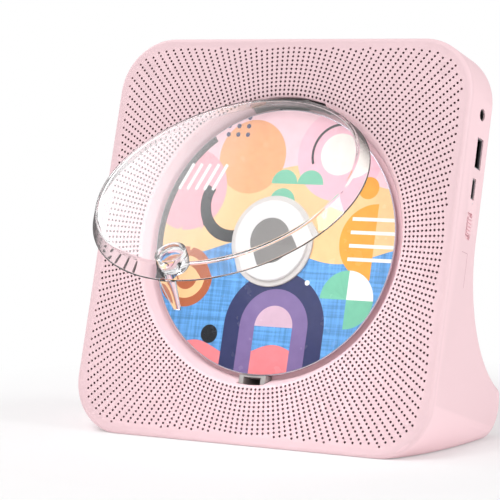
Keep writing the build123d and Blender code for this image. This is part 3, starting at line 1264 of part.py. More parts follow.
def speaker_basket(side):
    """The frame that the cone is glued into, with windows in its sides and three ears."""
    centre_x = side * SPEAKER_X
    throat = SPEAKER_MAGNET_RADIUS - BASKET_WALL
    coil_hole = COIL_RADIUS + COIL_CLEARANCE * 2
    points = [
        (CONE_SEAT, FLANGE_TOP),
        (SPEAKER_RADIUS, FLANGE_TOP),
        (SPEAKER_RADIUS, FLANGE_UNDER),
        (CONE_SEAT + BASKET_WALL, FLANGE_UNDER),
        (throat + BASKET_WALL, BASKET_FLOOR),
        (coil_hole, BASKET_FLOOR),
        (coil_hole, BASKET_FLOOR + BASKET_WALL),
        (throat, BASKET_FLOOR + BASKET_WALL),
        (CONE_SEAT, FLANGE_UNDER),
    ]
    basket = revolved(points, centre_x, SPEAKER_V)
    for x, v in speaker_ear_places((side,)):
        root_x = centre_x + (x - centre_x) * EAR_ROOT
        root_v = SPEAKER_V + (v - SPEAKER_V) * EAR_ROOT
        basket += post(SPEAKER_EAR_RADIUS, FLANGE_TOP, FLANGE_UNDER, x, v)
        basket += post(SPEAKER_EAR_RADIUS, FLANGE_TOP, FLANGE_UNDER, root_x, root_v)
    for x, v in speaker_ear_places((side,)):
        basket -= post(SMALL_SCREW_RADIUS + SMALL_SCREW_CLEARANCE, FLANGE_TOP, FLANGE_UNDER, x, v)
    window = Box(CONE_RADIUS, WINDOW_WIDTH, WINDOW_HEIGHT)
    window = Pos(CONE_RADIUS, 0, (FLANGE_UNDER + BASKET_FLOOR) / 2) * window
    for angle in BASKET_WINDOWS:
        basket -= Pos(centre_x, SPEAKER_V, 0) * Rot(0, 0, angle) * window
    return basket


def speaker_cone(side):
    """The paper cone with its rolled edge, dust cap and coil, as one thin shell."""
    floor = FLANGE_TOP - CONE_DEPTH
    shoulder = COIL_RADIUS * CAP_SHOULDER_AT
    front = [
        (0, floor + CAP_CROWN),
        (shoulder, floor + CAP_SHOULDER),
        (COIL_RADIUS, floor + CAP_FOOT),
        (CONE_RADIUS - CONE_ROLL_IN, FLANGE_TOP - CONE_ROLL_DIP),
        (CONE_RADIUS - CONE_ROLL_OUT, FLANGE_TOP + CONE_ROLL),
        (CONE_SEAT, FLANGE_TOP),
    ]
    back = [(radius, w - CONE_WALL) for radius, w in reversed(front[2:])]
    coil = [
        (COIL_RADIUS, floor - COIL_LENGTH),
        (COIL_RADIUS - CONE_WALL, floor - COIL_LENGTH),
        (COIL_RADIUS - CONE_WALL, floor + CAP_FOOT),
        (shoulder, floor + CAP_SHOULDER - CONE_WALL),
        (0, floor + CAP_CROWN - CONE_WALL),
    ]
    return revolved(front + back + coil, side * SPEAKER_X, SPEAKER_V)


def speaker_magnet(side):
    """The magnet and its plates, with the ring gap that the voice coil sits in."""
    bottom = BASKET_FLOOR - SPEAKER_MAGNET_HEIGHT
    x = side * SPEAKER_X
    pole_radius = COIL_RADIUS - CONE_WALL - COIL_CLEARANCE
    body = post(SPEAKER_MAGNET_RADIUS, BASKET_FLOOR, bottom, x, SPEAKER_V)
    body = fillet(bottom_edge(body), MOTOR_EDGE_ROUND)
    gap_floor = bottom + MAGNET_BACK_PLATE
    body -= tube(COIL_RADIUS + COIL_CLEARANCE, pole_radius, BASKET_FLOOR, gap_floor, x, SPEAKER_V)
    return body + post(pole_radius, BASKET_FLOOR + POLE_PROUD, gap_floor, x, SPEAKER_V)


def speaker_screws():
    tip = -FACE_WALL - SPEAKER_SCREW_END

    def one(x, v):
        return screw(x, v, FLANGE_UNDER, tip, SMALL_SCREW_RADIUS, SMALL_HEAD_RADIUS, SMALL_HEAD_HEIGHT)

    return around(speaker_ear_places(), one)


# ---------------------------------------------------------------- electronics
def main_board():
    board = block(BOARD_WIDTH, BOARD_HEIGHT, -BOARD_FRONT, BOARD_BACK, *BOARD_MIDDLE)
    for x, v in BOARD_POSTS:
        board -= post(SMALL_SCREW_RADIUS + SMALL_SCREW_CLEARANCE, -BOARD_FRONT, BOARD_BACK, x, v)
    return board


def board_screws():
    tip = -BOARD_FRONT - BOARD_SCREW_LENGTH

    def one(x, v):
        return screw(x, v, -BOARD_FRONT, tip, SMALL_SCREW_RADIUS, SMALL_HEAD_RADIUS, SMALL_HEAD_HEIGHT)

    return around(BOARD_POSTS, one)


def board_parts():
    """The processor, two smaller chips and two capacitors, on the board's rear side."""
    pieces = []
    for (across, down), (width, height, thickness) in zip(CHIP_PLACES, CHIP_SIZES):
        x = BOARD_RIGHT - across
        v = BOARD_HIGH - down
        pieces.append(block(width, height, BOARD_BACK, BOARD_BACK - thickness, x, v))
    for across, down in CAPACITOR_PLACES:
        x = BOARD_RIGHT - across
        v = BOARD_HIGH - down
        pieces.append(post(CAPACITOR_RADIUS, BOARD_BACK, BOARD_BACK - CAPACITOR_HEIGHT, x, v))
    return grouped(pieces)


def socket_foot(end, length, v, top):
    """The foot that a socket stands on, between the board's rear side and the socket's front."""
    height = BOARD_BACK - top
    return bar_x(length, height, end, end + SOCKET_FOOT, v, top + height / 2)


def usb_a_port():
    mouth = HALF_WIDTH - USB_A_RECESS
    back = mouth - USB_A_BODY
    inside = back + USB_A_END_WALL
    sheet = SHEET_WALL * 2
    shell = bar_x(USB_A_LENGTH, USB_A_HEIGHT, back, mouth, USB_A_V, -USB_A_DEPTH)
    shell -= bar_x(USB_A_LENGTH - sheet, USB_A_HEIGHT - sheet, inside, mouth, USB_A_V, -USB_A_DEPTH)
    tongue_length = USB_A_LENGTH - USB_A_TONGUE_SIDE * 2
    tongue_w = -USB_A_DEPTH - USB_A_TONGUE_DROP
    tongue_end = mouth - USB_A_TONGUE_BACK
    shell += bar_x(tongue_length, USB_A_TONGUE_THICKNESS, inside, tongue_end, USB_A_V, tongue_w)
    foot_start = back + SOCKET_FOOT_INSET
    foot_top = -USB_A_DEPTH + USB_A_HEIGHT / 2
    return shell + socket_foot(foot_start, USB_A_LENGTH - SOCKET_FOOT_INSET, USB_A_V, foot_top)


def usb_c_port():
    mouth = HALF_WIDTH - USB_C_RECESS
    back = mouth - USB_C_BODY
    inside = back + USB_C_END_WALL
    sheet = SHEET_WALL * 2
    shell = bar_x(USB_C_LENGTH, USB_C_HEIGHT, back, mouth, USB_C_V, -USB_C_DEPTH)
    shell = fillet(shell.edges().filter_by(Axis.X), USB_C_ROUND)
    hollow = bar_x(USB_C_LENGTH - sheet, USB_C_HEIGHT - sheet, inside, mouth, USB_C_V, -USB_C_DEPTH)
    shell -= fillet(hollow.edges().filter_by(Axis.X), USB_C_ROUND - SHEET_WALL)
    tongue_length = USB_C_LENGTH - USB_C_TONGUE_SIDE * 2
    tongue_end = mouth - USB_C_TONGUE_BACK
    shell += bar_x(tongue_length, USB_C_TONGUE_THICKNESS, inside, tongue_end, USB_C_V, -USB_C_DEPTH)
    foot_length = USB_C_LENGTH - USB_C_ROUND * 2
    foot_top = -USB_C_DEPTH + USB_C_HEIGHT / 2 - SHEET_WALL
    return shell + socket_foot(back, foot_length, USB_C_V, foot_top)


def headphone_jack():
    box_end = HALF_WIDTH - WALL - JACK_BEHIND_WALL
    box_start = box_end - JACK_LENGTH
    mouth = HALF_WIDTH - JACK_RECESS
    bottom = -JACK_DEPTH - JACK_BARREL_RADIUS - JACK_UNDER
    width = (JACK_BARREL_RADIUS + JACK_SIDE_WALL) * 2
    body = bar_x(width, BOARD_BACK - bottom, box_start, box_end, JACK_V, (BOARD_BACK + bottom) / 2)
    body += rod_x(JACK_BARREL_RADIUS, box_end, mouth, JACK_V, -JACK_DEPTH)
    return body - rod_x(JACK_BORE_RADIUS, box_start + JACK_END_WALL, mouth, JACK_V, -JACK_DEPTH)


def status_light():
    """A light pipe from a lamp on the board to the side wall."""
    start = HALF_WIDTH - LED_LENGTH
    lamp_bottom = -LED_DEPTH - LED_RADIUS
    lamp_x = start + LED_BODY_OVERLAP - LED_BODY / 2
    pipe = rod_x(LED_RADIUS, start, HALF_WIDTH - LED_RECESS, LED_V, -LED_DEPTH)
    return pipe + block(LED_BODY, LED_BODY, BOARD_BACK, lamp_bottom, lamp_x, LED_V)


def switch_body():
    """The slide switch on the board, with the groove that its lever runs in."""
    end = HALF_WIDTH - WALL - SEAT_CLEARANCE
    bottom = -SWITCH_DEPTH - SWITCH_STEM / 4 - SWITCH_BODY_UNDER
    length = SWITCH_LENGTH + SWITCH_BODY_OVER * 2
    middle = (BOARD_BACK + bottom) / 2
    body = bar_x(length, BOARD_BACK - bottom, end - SWITCH_BODY_DEPTH, end, SWITCH_V, middle)
    groove_length = SWITCH_STEM + (SWITCH_TRAVEL + PORT_CLEARANCE) * 2
    groove_height = SWITCH_STEM / 2 + PORT_CLEARANCE * 2
    groove = bar_x(groove_length, groove_height, end - SWITCH_GROOVE_DEPTH, end, SWITCH_V, -SWITCH_DEPTH)
    return body - groove


def switch_knob():
    """The ribbed thumb piece in its recess, with the stem that works the switch."""
    base = HALF_WIDTH - SWITCH_RECESS + SWITCH_FLOOR_GAP
    top = HALF_WIDTH + SWITCH_KNOB_PROUD
    height = SWITCH_HEIGHT - SWITCH_KNOB_GAP * 2
    stem_start = HALF_WIDTH - WALL - SWITCH_STEM_PAST
    knob = bar_x(SWITCH_KNOB_LENGTH, height, base, top, SWITCH_V, -SWITCH_DEPTH)
    knob += bar_x(SWITCH_STEM, SWITCH_STEM / 2, stem_start, base, SWITCH_V, -SWITCH_DEPTH)
    pitch = SWITCH_KNOB_LENGTH / SWITCH_RIBS
    for i in range(SWITCH_RIBS):
        rib_v = SWITCH_V - SWITCH_KNOB_LENGTH / 2 + pitch * (i + 0.5)
        knob += bar_x(pitch * SWITCH_RIB_SHARE, height, top, top + SWITCH_RIB_HEIGHT, rib_v, -SWITCH_DEPTH)
    return knob


# ---------------------------------------------------------------- buttons
def push_button(x):
    """A key that passes through the top wall and is kept in by a flange."""
    top = BODY_TOP + BUTTON_PROUD
    flange_top = BODY_TOP - WALL - BUTTON_PLAY
    flange_low = flange_top - BUTTON_FLANGE
    stem_low = BUTTON_BOARD_TOP + TACT_HEIGHT + TACT_MARGIN + BUTTON_TRAVEL
    reach = BUTTON_FLANGE_REACH * 2
    cap = Box(BUTTON_LENGTH, top - flange_low, BUTTON_WIDTH)
    cap = Pos(x, (top + flange_low) / 2, -BUTTON_DEPTH) * cap
    cap = fillet(cap.edges().group_by(Axis.Y)[-1], BUTTON_ROUND)
    flange = Box(BUTTON_LENGTH + reach, BUTTON_FLANGE, BUTTON_WIDTH + reach)
    cap += Pos(x, (flange_top + flange_low) / 2, -BUTTON_DEPTH) * flange
    return cap + rod_v(BUTTON_STEM_RADIUS, stem_low, flange_top, x, -BUTTON_DEPTH)


def button_board():
    v = BUTTON_BOARD_TOP - BUTTON_BOARD_THICKNESS / 2
    return Pos(0, v, -BUTTON_DEPTH) * Box(BUTTON_BOARD_HALF * 2, BUTTON_BOARD_THICKNESS, BUTTON_BOARD_WIDTH)


def tact_switches():
    pieces = []
    body_height = TACT_HEIGHT - TACT_PLUNGER
    body_top = BUTTON_BOARD_TOP + body_height
    plunger_top = BUTTON_BOARD_TOP + TACT_HEIGHT
    for x, name in button_places():
        middle = Pos(x, BUTTON_BOARD_TOP + body_height / 2, -BUTTON_DEPTH)
        body = middle * Box(TACT_SIZE, body_height, TACT_SIZE)
        pieces.append(body + rod_v(TACT_PLUNGER_RADIUS, body_top, plunger_top, x, -BUTTON_DEPTH))
    return grouped(pieces)


# ---------------------------------------------------------------- all nodes
def all_nodes():
    nodes = {
        "front_cover": front_cover(),
        "rear_cover": rear_cover(),
        "grille_cloth": grille_cloth(),
        "base_pad": base_pad(),
        "cover_screws": cover_screws(),
        "dust_cover": dust_cover(),
        "lid_knob": lid_knob(),
        "hinge_pin": hinge_pin(),
        "hinge_bracket": hinge_bracket(),
        "lid_catch": lid_catch(),
        "deck": deck(),
        "deck_screws": deck_screws(),
        "disc": disc(),
        "turntable": turntable(),
        "clamp_puck": clamp_puck(),
        "puck_ring": puck_ring(),
        "puck_cap": puck_cap(),
        "puck_magnet": puck_magnet(),
        "spindle_shaft": spindle_shaft(),
        "spindle_motor": spindle_motor(),
        "chassis": chassis(),
        "dampers": dampers(),
        "damper_screws": damper_screws(),
        "guide_rails": guide_rails(),
        "sled": sled(),
        "lens_holder": lens_holder(),
        "objective_lens": objective_lens(),
        "feed_gear": feed_gear(),
        "gear_post": gear_post(),
        "motor_pinion": motor_pinion(),
        "sled_motor": sled_motor(),
        "speaker_screws": speaker_screws(),
        "main_board": main_board(),
        "board_screws": board_screws(),
        "board_parts": board_parts(),
        "usb_a_port": usb_a_port(),
        "usb_c_port": usb_c_port(),
        "headphone_jack": headphone_jack(),
        "status_light": status_light(),
        "switch_body": switch_body(),
        "switch_knob": switch_knob(),
        "button_board": button_board(),
        "tact_switches": tact_switches(),
    }
    for side, word in ((-1, "left"), (1, "right")):
        nodes[word + "_speaker_gasket"] = speaker_gasket(side)
        nodes[word + "_speaker_basket"] = speaker_basket(side)
        nodes[word + "_speaker_cone"] = speaker_cone(side)
        nodes[word + "_speaker_magnet"] = speaker_magnet(side)
    for x, name in button_places():
        nodes[name] = push_button(x)
    return nodes


os.makedirs("parts", exist_ok=True)
for node, shape in all_nodes().items():
    export_step(FACE.location * shape, os.path.join("parts", node + ".step"))
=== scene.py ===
import bpy
import json
import math
from mathutils import Matrix, Vector
from mathutils.geometry import delaunay_2d_cdt


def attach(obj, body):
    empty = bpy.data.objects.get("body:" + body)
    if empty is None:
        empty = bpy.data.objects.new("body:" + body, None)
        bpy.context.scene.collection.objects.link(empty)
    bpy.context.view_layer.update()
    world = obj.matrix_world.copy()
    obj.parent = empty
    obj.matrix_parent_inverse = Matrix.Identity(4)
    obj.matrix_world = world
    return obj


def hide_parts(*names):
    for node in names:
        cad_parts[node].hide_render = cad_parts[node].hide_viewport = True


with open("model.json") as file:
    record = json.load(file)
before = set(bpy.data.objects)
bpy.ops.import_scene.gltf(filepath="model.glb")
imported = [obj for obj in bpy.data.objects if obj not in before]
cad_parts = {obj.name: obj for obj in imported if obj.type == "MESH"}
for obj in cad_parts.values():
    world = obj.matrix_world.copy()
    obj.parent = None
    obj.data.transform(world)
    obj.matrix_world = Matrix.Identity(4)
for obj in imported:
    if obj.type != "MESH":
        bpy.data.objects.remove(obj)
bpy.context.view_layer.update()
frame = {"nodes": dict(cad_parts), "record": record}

# ---------------------------------------------------------------- the face frame, in millimetres
# x runs to the right, v up the leaning face and w out of it, as in the part's source.
LEAN = math.radians(16.34)
FACE = Matrix((
    (0.001, 0, 0, 0),
    (0, 0.001 * math.sin(LEAN), -0.001 * math.cos(LEAN), -0.045),
    (0, 0.001 * math.cos(LEAN), 0.001 * math.sin(LEAN), 0.002),
    (0, 0, 0, 1),
))
BODY_WIDTH = 178.5
BODY_BOTTOM = -2.0
BODY_TOP = 182.8
CORNER = 25.5
EDGE_ROUND = 2.0
FACE_WALL = 2.5
SEAM = 3.2
LIP_DEPTH = 6.2
LIP_OUTSIDE = 2.15
LIP_INSIDE = 3.35
FLOOR_GAP = 0.2
LIP_FLOOR = 2.35
WELL_V = 89.92
MOUTH = 65.55
WELL_FLOOR = 61.6
WELL_DEPTH = 8.4
LIP_ROUND = 3.2
WELL_WALL = 1.8
NOTCH_HALF = 19.2
NOTCH_RADIUS = 65.7
HINGE_V = WELL_V + 63.4
HINGE_DEPTH = 1.4
LID_OPEN = 39.7
FIRST_RING = 66.9
RING_PITCH = 1.94
PER_RING = 200
HOLE_RADIUS = 0.56
FIELD_MARGIN = 4.6
FIELD_REACH = 140            # no ring of holes is wider than this
HOLE_SIDES = 12
BLIND_DEPTH = 1.9            # of the holes that lie over the well's lip
HINGE_POCKET_BELOW = 33      # the hinge pocket's cut, from and to, above the well's centre
HINGE_POCKET_ABOVE = 99
SLOT_OUTER = 64.8            # the catch slot in the well's foot
SLOT_INNER = 60.15
SLOT_HALF = 6.85
FAR = 200                    # well beyond the body
SPEAKER_X = 62.25
SPEAKER_V = 28.0
SPEAKER_SCREW_RING = 23.0
SPEAKER_SCREW_ANGLES = (-45, 45, -135)
DECK_SCREW_RING = 71.6
DECK_SCREW_ANGLES = (48, 132, 210, 330)
COVER_SCREWS = [(side * x, v) for side in (-1, 1) for x, v in ((76.25, 168), (81.25, 78), (36.25, 24))]


# ---------------------------------------------------------------- mesh helpers
def make_mesh(name, verts, faces):
    mesh = bpy.data.meshes.new(name)
    mesh.from_pydata(verts, [], faces)
    mesh.validate()
    return mesh


def lathe(points, x=0.0, v=WELL_V, segments=192, name="lathe"):
    """A closed outline of (radius, w) points turned about an axis along w. A radius of 0 is a pole."""
    verts = []
    index = []
    for radius, w in points:
        if radius <= 1e-6:
            index.append([len(verts)])
            verts.append((x, v, w))
        else:
            index.append(list(range(len(verts), len(verts) + segments)))
            for i in range(segments):
                a = 2 * math.pi * i / segments
                verts.append((x + radius * math.cos(a), v + radius * math.sin(a), w))
    faces = []
    for k in range(len(points)):
        lower, upper = index[k], index[(k + 1) % len(points)]
        if len(lower) == 1 and len(upper) == 1:
            continue
        for i in range(segments):
            j = (i + 1) % segments
            if len(lower) == 1:
                faces.append((lower[0], upper[j], upper[i]))
            elif len(upper) == 1:
                faces.append((lower[i], lower[j], upper[0]))
            else:
                faces.append((lower[i], lower[j], upper[j], upper[i]))
    mesh = make_mesh(name, verts, faces)
    outward(mesh)
    return mesh


def signed_volume(mesh):
    total = 0.0
    for p in mesh.polygons:
        vs = [mesh.vertices[i].co for i in p.vertices]
        for i in range(1, len(vs) - 1):
            total += vs[0].dot(vs[i].cross(vs[i + 1]))
    return total


def outward(mesh):
    if signed_volume(mesh) < 0:
        mesh.flip_normals()


def arc(cx, cy, radius, start, end, steps):
    """Points on an arc, angles in degrees."""
    angles = [math.radians(start + (end - start) * i / steps) for i in range(steps + 1)]
    return [(cx + radius * math.cos(a), cy + radius * math.sin(a)) for a in angles]


def outline(inset, steps=20):
    """The face's rounded square, inset from its edge, counter-clockwise in (x, v)."""
    half_w = BODY_WIDTH / 2 - inset
    low = BODY_BOTTOM + inset
    high = BODY_TOP - inset
    r = CORNER - inset
    points = []
    for cx, cy, start in ((half_w - r, high - r, 0), (-half_w + r, high - r, 90),
                          (-half_w + r, low + r, 180), (half_w - r, low + r, 270)):
        points += arc(cx, cy, r, start, start + 90, steps)
    return points


def stack(rings, name="stack"):
    """A closed solid from equal rings of (x, v, w) points, capped at both ends."""
    count = len(rings[0])
    verts = [p for ring in rings for p in ring]
    faces = [tuple(range(count)), tuple(range(len(verts) - 1, len(verts) - count - 1, -1))]
    for k in range(len(rings) - 1):
        for i in range(count):
            j = (i + 1) % count
            faces.append((k * count + j, k * count + i, (k + 1) * count + i, (k + 1) * count + j))
    mesh = make_mesh(name, verts, faces)
    outward(mesh)
    return mesh


def prism(points, top, bottom, name="prism"):
    """A flat (x, v) outline thickened between two levels along w."""
    return stack([[(x, v, top) for x, v in points], [(x, v, bottom) for x, v in points]], name)


def box(x0, x1, v0, v1, w0, w1):
    return prism([(x0, v0), (x1, v0), (x1, v1), (x0, v1)], w1, w0, "box")


def post(radius, top, bottom, x=0.0, v=0.0, segments=48):
    return prism(arc(x, v, radius, 0, 360 - 360 / segments, segments - 1), top, bottom, "post")


def rod_x(radius, x0, x1, v, w, segments=40):
    ring = arc(v, w, radius, 0, 360 - 360 / segments, segments - 1)
    return stack([[(x0, a, b) for a, b in ring], [(x1, a, b) for a, b in ring]], "rod")


def merged(meshes, name="merged"):
    """Several separate meshes as one, with nothing joined."""
    verts = []
    faces = []
    for mesh in meshes:
        base = len(verts)
        verts += [tuple(v.co) for v in mesh.vertices]
        faces += [tuple(base + i for i in p.vertices) for p in mesh.polygons]
    return make_mesh(name, verts, faces)


def boolean(a, b, operation):
    """Union, difference or intersection of two closed meshes."""
    first = bpy.data.objects.new("first", a)
    second = bpy.data.objects.new("second", b)
    for o in (first, second):
        bpy.context.scene.collection.objects.link(o)
    mod = first.modifiers.new("cut", "BOOLEAN")
    mod.operation = operation
    mod.solver = "MANIFOLD"
    mod.object = second
    graph = bpy.context.evaluated_depsgraph_get()
    result = bpy.data.meshes.new_from_object(first.evaluated_get(graph))
    bpy.data.objects.remove(first)
    bpy.data.objects.remove(second)
    if not result.polygons:
        raise RuntimeError("a boolean left nothing: " + operation)
    return result


def add(a, *others):
    for b in others:
        a = boolean(a, b, "UNION")
    return a


def cut(a, *others):
    for b in others:
        a = boolean(a, b, "DIFFERENCE")
    return a


def keep(a, *others):
    for b in others:
        a = boolean(a, b, "INTERSECT")
    return a


def piece(name, mesh, body, material, nodes=(), angle=35.0, placing=FACE):
    """Puts a mesh drawn in the face frame into the world as a finished piece."""
    mesh.name = name
    mesh.transform(placing)
    for p in mesh.polygons:
        p.use_smooth = True
    mesh.set_sharp_from_angle(angle=math.radians(angle))
    obj = bpy.data.objects.new(name, mesh)
    bpy.context.scene.collection.objects.link(obj)
    if material is not None:
        mesh.materials.clear()
        mesh.materials.append(material)
    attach(obj, body)
    if nodes:
        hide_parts(*nodes)
    return obj


def flat_edges_sharp(mesh, direction, tolerance=0.3):
    """Parts a flat face from the round beside it, so that the face shades as truly flat."""
    limit = math.cos(math.radians(tolerance))
    flat = [abs(p.normal.dot(direction)) > limit for p in mesh.polygons]
    sides = {}
    for p in mesh.polygons:
        for key in p.edge_keys:
            sides.setdefault(key, []).append(flat[p.index])
    for e in mesh.edges:
        pair = sides.get(tuple(sorted(e.vertices)), [])
        if len(pair) == 2 and pair[0] != pair[1]:
            e.use_edge_sharp = True


# ---------------------------------------------------------------- materials
def linear(code):
    """A hex colour as linear RGBA."""
    values = [int(code[i:i + 2], 16) / 255 for i in (0, 2, 4)]
    return tuple(c / 12.92 if c <= 0.04045 else ((c + 0.055) / 1.055) ** 2.4 for c in values) + (1.0,)


def toned(base, factor, lift=0.0):
    """A linear colour made darker or paler."""
    return tuple(min(1.0, c * factor + lift) for c in base[:3]) + (1.0,)


def material(name):
    mat = bpy.data.materials.new(name)
    mat.use_nodes = True
    tree = mat.node_tree
    shader = tree.nodes["Principled BSDF"]
    return mat, tree, shader


def coords(tree, scale=(1, 1, 1)):
    """Object coordinates in metres, stretched by scale."""
    source = tree.nodes.new("ShaderNodeTexCoord")
    mapping = tree.nodes.new("ShaderNodeMapping")
    mapping.inputs["Scale"].default_value = scale
    tree.links.new(source.outputs["Object"], mapping.inputs["Vector"])
    return mapping.outputs["Vector"]


def noise(tree, vector, scale, detail=3.0, rough=0.5):
    node = tree.nodes.new("ShaderNodeTexNoise")
    node.inputs["Scale"].default_value = scale
    node.inputs["Detail"].default_value = detail
    node.inputs["Roughness"].default_value = rough
    tree.links.new(vector, node.inputs["Vector"])
    return node.outputs["Fac"]


def spread(tree, value, low, high):
    """Maps 0..1 to low..high."""
    node = tree.nodes.new("ShaderNodeMapRange")
    node.inputs["To Min"].default_value = low
    node.inputs["To Max"].default_value = high
    tree.links.new(value, node.inputs["Value"])
    return node.outputs["Result"]


def step_up(tree, value, low, high):
    """0 below low, 1 above high."""
    node = tree.nodes.new("ShaderNodeMapRange")
    node.inputs["From Min"].default_value = low
    node.inputs["From Max"].default_value = high
    tree.links.new(value, node.inputs["Value"])
    return node.outputs["Result"]


def math_node(tree, operation, a, b=None):
    node = tree.nodes.new("ShaderNodeMath")
    node.operation = operation
    for socket, value in zip(node.inputs, (a, b)):
        if value is None:
            continue
        if isinstance(value, (int, float)):
            socket.default_value = value
        else:
            tree.links.new(value, socket)
    return node.outputs[0]


def blend_colour(tree, factor, first, second):
    node = tree.nodes.new("ShaderNodeMix")
    node.data_type = "RGBA"
    if isinstance(factor, (int, float)):
        node.inputs[0].default_value = factor
    else:
        tree.links.new(factor, node.inputs[0])
    for socket, value in ((node.inputs[6], first), (node.inputs[7], second)):
        if isinstance(value, tuple):
            socket.default_value = value
        else:
            tree.links.new(value, socket)
    return node.outputs[2]


def bump(tree, shader, height, strength, distance):
    node = tree.nodes.new("ShaderNodeBump")
    node.inputs["Strength"].default_value = strength
    node.inputs["Distance"].default_value = distance
    tree.links.new(height, node.inputs["Height"])
    tree.links.new(node.outputs["Normal"], shader.inputs["Normal"])


def mixed_shader(tree, factor, first, second):
    mix = tree.nodes.new("ShaderNodeMixShader")
    tree.links.new(factor, mix.inputs[0])
    tree.links.new(first.outputs[0], mix.inputs[1])
    tree.links.new(second.outputs[0], mix.inputs[2])
    return mix


def wave(tree, vector, scale, bands="X", distortion=0.0, rings=False):
    node = tree.nodes.new("ShaderNodeTexWave")
    node.wave_type = "RINGS" if rings else "BANDS"
    if rings:
        node.rings_direction = bands
    else:
        node.bands_direction = bands
    node.inputs["Scale"].default_value = scale
    node.inputs["Distortion"].default_value = distortion
    tree.links.new(vector, node.inputs["Vector"])
    return node.outputs["Fac"]


def moulded(name, code, rough=0.5, shade=0.03, grain=0.12, grain_scale=3200.0, edge=0.06, coat=0.0):
    """Moulded plastic: fine matte grain, faint mottling and slightly paler edges."""
    mat, tree, shader = material(name)
    vector = coords(tree)
    base = linear(code)
    mottled = blend_colour(tree, noise(tree, vector, 35.0), toned(base, 1 - shade), base)
    geometry = tree.nodes.new("ShaderNodeNewGeometry")
    rim = step_up(tree, geometry.outputs["Pointiness"], 0.515, 0.56)
    tree.links.new(blend_colour(tree, rim, mottled, toned(base, 1 + edge)), shader.inputs["Base Color"])
    fine = noise(tree, vector, grain_scale, 2.0)
    gloss = spread(tree, noise(tree, vector, 120.0), rough - 0.04, rough + 0.05)
    tree.links.new(gloss, shader.inputs["Roughness"])
    bump(tree, shader, fine, grain, 0.00005)
    shader.inputs["Coat Weight"].default_value = coat
    shader.inputs["Coat Roughness"].default_value = 0.2
    return mat


def brushed(name, code, rough=0.3, stretch=(1, 1, 40), metal=1.0):
    """Drawn or brushed metal with fine lines one way."""
    mat, tree, shader = material(name)
    base = linear(code)
    lines = noise(tree, coords(tree, stretch), 260.0, 4.0)
    tree.links.new(blend_colour(tree, lines, toned(base, 0.82), base), shader.inputs["Base Color"])
    tree.links.new(spread(tree, lines, rough - 0.07, rough + 0.1), shader.inputs["Roughness"])
    shader.inputs["Metallic"].default_value = metal
    bump(tree, shader, lines, 0.15, 0.00003)
    return mat


def centred(tree, centre):
    """Object coordinates about a point of the face, turned so that Z runs out of it, in metres."""
    source = tree.nodes.new("ShaderNodeTexCoord")
    turned = tree.nodes.new("ShaderNodeVectorRotate")
    turned.rotation_type = "X_AXIS"
    turned.inputs["Center"].default_value = tuple(centre)
    turned.inputs["Angle"].default_value = -(math.pi / 2 - LEAN)
    tree.links.new(source.outputs["Object"], turned.inputs["Vector"])
    shift = tree.nodes.new("ShaderNodeVectorMath")
    shift.operation = "SUBTRACT"
    tree.links.new(turned.outputs["Vector"], shift.inputs[0])
    shift.inputs[1].default_value = tuple(centre)
    return shift.outputs["Vector"]


def spun(name, code, centre, rough=0.32):
    """Turned aluminium: fine rings about a centre."""
    mat, tree, shader = material(name)
    base = linear(code)
    vector = centred(tree, centre)
    rings = wave(tree, vector, 900.0, "Z", 0.4, rings=True)
    grain = noise(tree, vector, 900.0)
    tree.links.new(blend_colour(tree, rings, toned(base, 0.88), base), shader.inputs["Base Color"])
    tree.links.new(spread(tree, grain, rough - 0.05, rough + 0.08), shader.inputs["Roughness"])
    shader.inputs["Metallic"].default_value = 0.25
    bump(tree, shader, rings, 0.1, 0.00003)
    return mat


def woven(name, code, pitch, depth=0.4, rough=0.85):
    """Cloth of crossing threads, pitch in metres."""
    mat, tree, shader = material(name)
    base = linear(code)
    vector = coords(tree)
    scale = 0.5 / pitch
    across = wave(tree, vector, scale, "X")
    along = wave(tree, vector, scale, "Z")
    threads = math_node(tree, "MAXIMUM", across, along)
    tree.links.new(blend_colour(tree, threads, toned(base, 0.45), base), shader.inputs["Base Color"])
    shader.inputs["Roughness"].default_value = rough
    bump(tree, shader, threads, depth, 0.0002)
    return mat


def clear(name, painted_edge_shade=0.9):
    """Clear polished plastic with a faint haze. Its slanting surfaces get painted shade: a dark matte is
    mixed in there, up to the share given, for the dark edges that clear plastic shows when seen edge-on.
    """
    mat, tree, shader = material(name)
    vector = coords(tree)
    shader.inputs["Base Color"].default_value = (0.975, 0.975, 0.978, 1.0)
    shader.inputs["Transmission Weight"].default_value = 1.0
    shader.inputs["IOR"].default_value = 1.49
    haze = spread(tree, noise(tree, vector, 60.0, 4.0), 0.0, 0.035)
    tree.links.new(haze, shader.inputs["Roughness"])
    out = tree.nodes["Material Output"]
    path = tree.nodes.new("ShaderNodeLightPath")
    through = tree.nodes.new("ShaderNodeBsdfTransparent")
    through.inputs["Color"].default_value = (0.93, 0.93, 0.94, 1.0)
    slant = tree.nodes.new("ShaderNodeLayerWeight")
    slant.inputs["Blend"].default_value = 0.5
    edge = math_node(tree, "MULTIPLY", step_up(tree, slant.outputs["Facing"], 0.55, 0.8), painted_edge_shade)
    # painted shade: a dark matte shader, mixed in where the surface is seen at a slant
    dark = tree.nodes.new("ShaderNodeBsdfDiffuse")
    dark.inputs["Color"].default_value = (0.1, 0.095, 0.095, 1.0)
    with_painted_shade = mixed_shader(tree, edge, shader, dark)
    mix = mixed_shader(tree, path.outputs["Is Shadow Ray"], with_painted_shade, through)
    tree.links.new(mix.outputs[0], out.inputs["Surface"])
    return mat


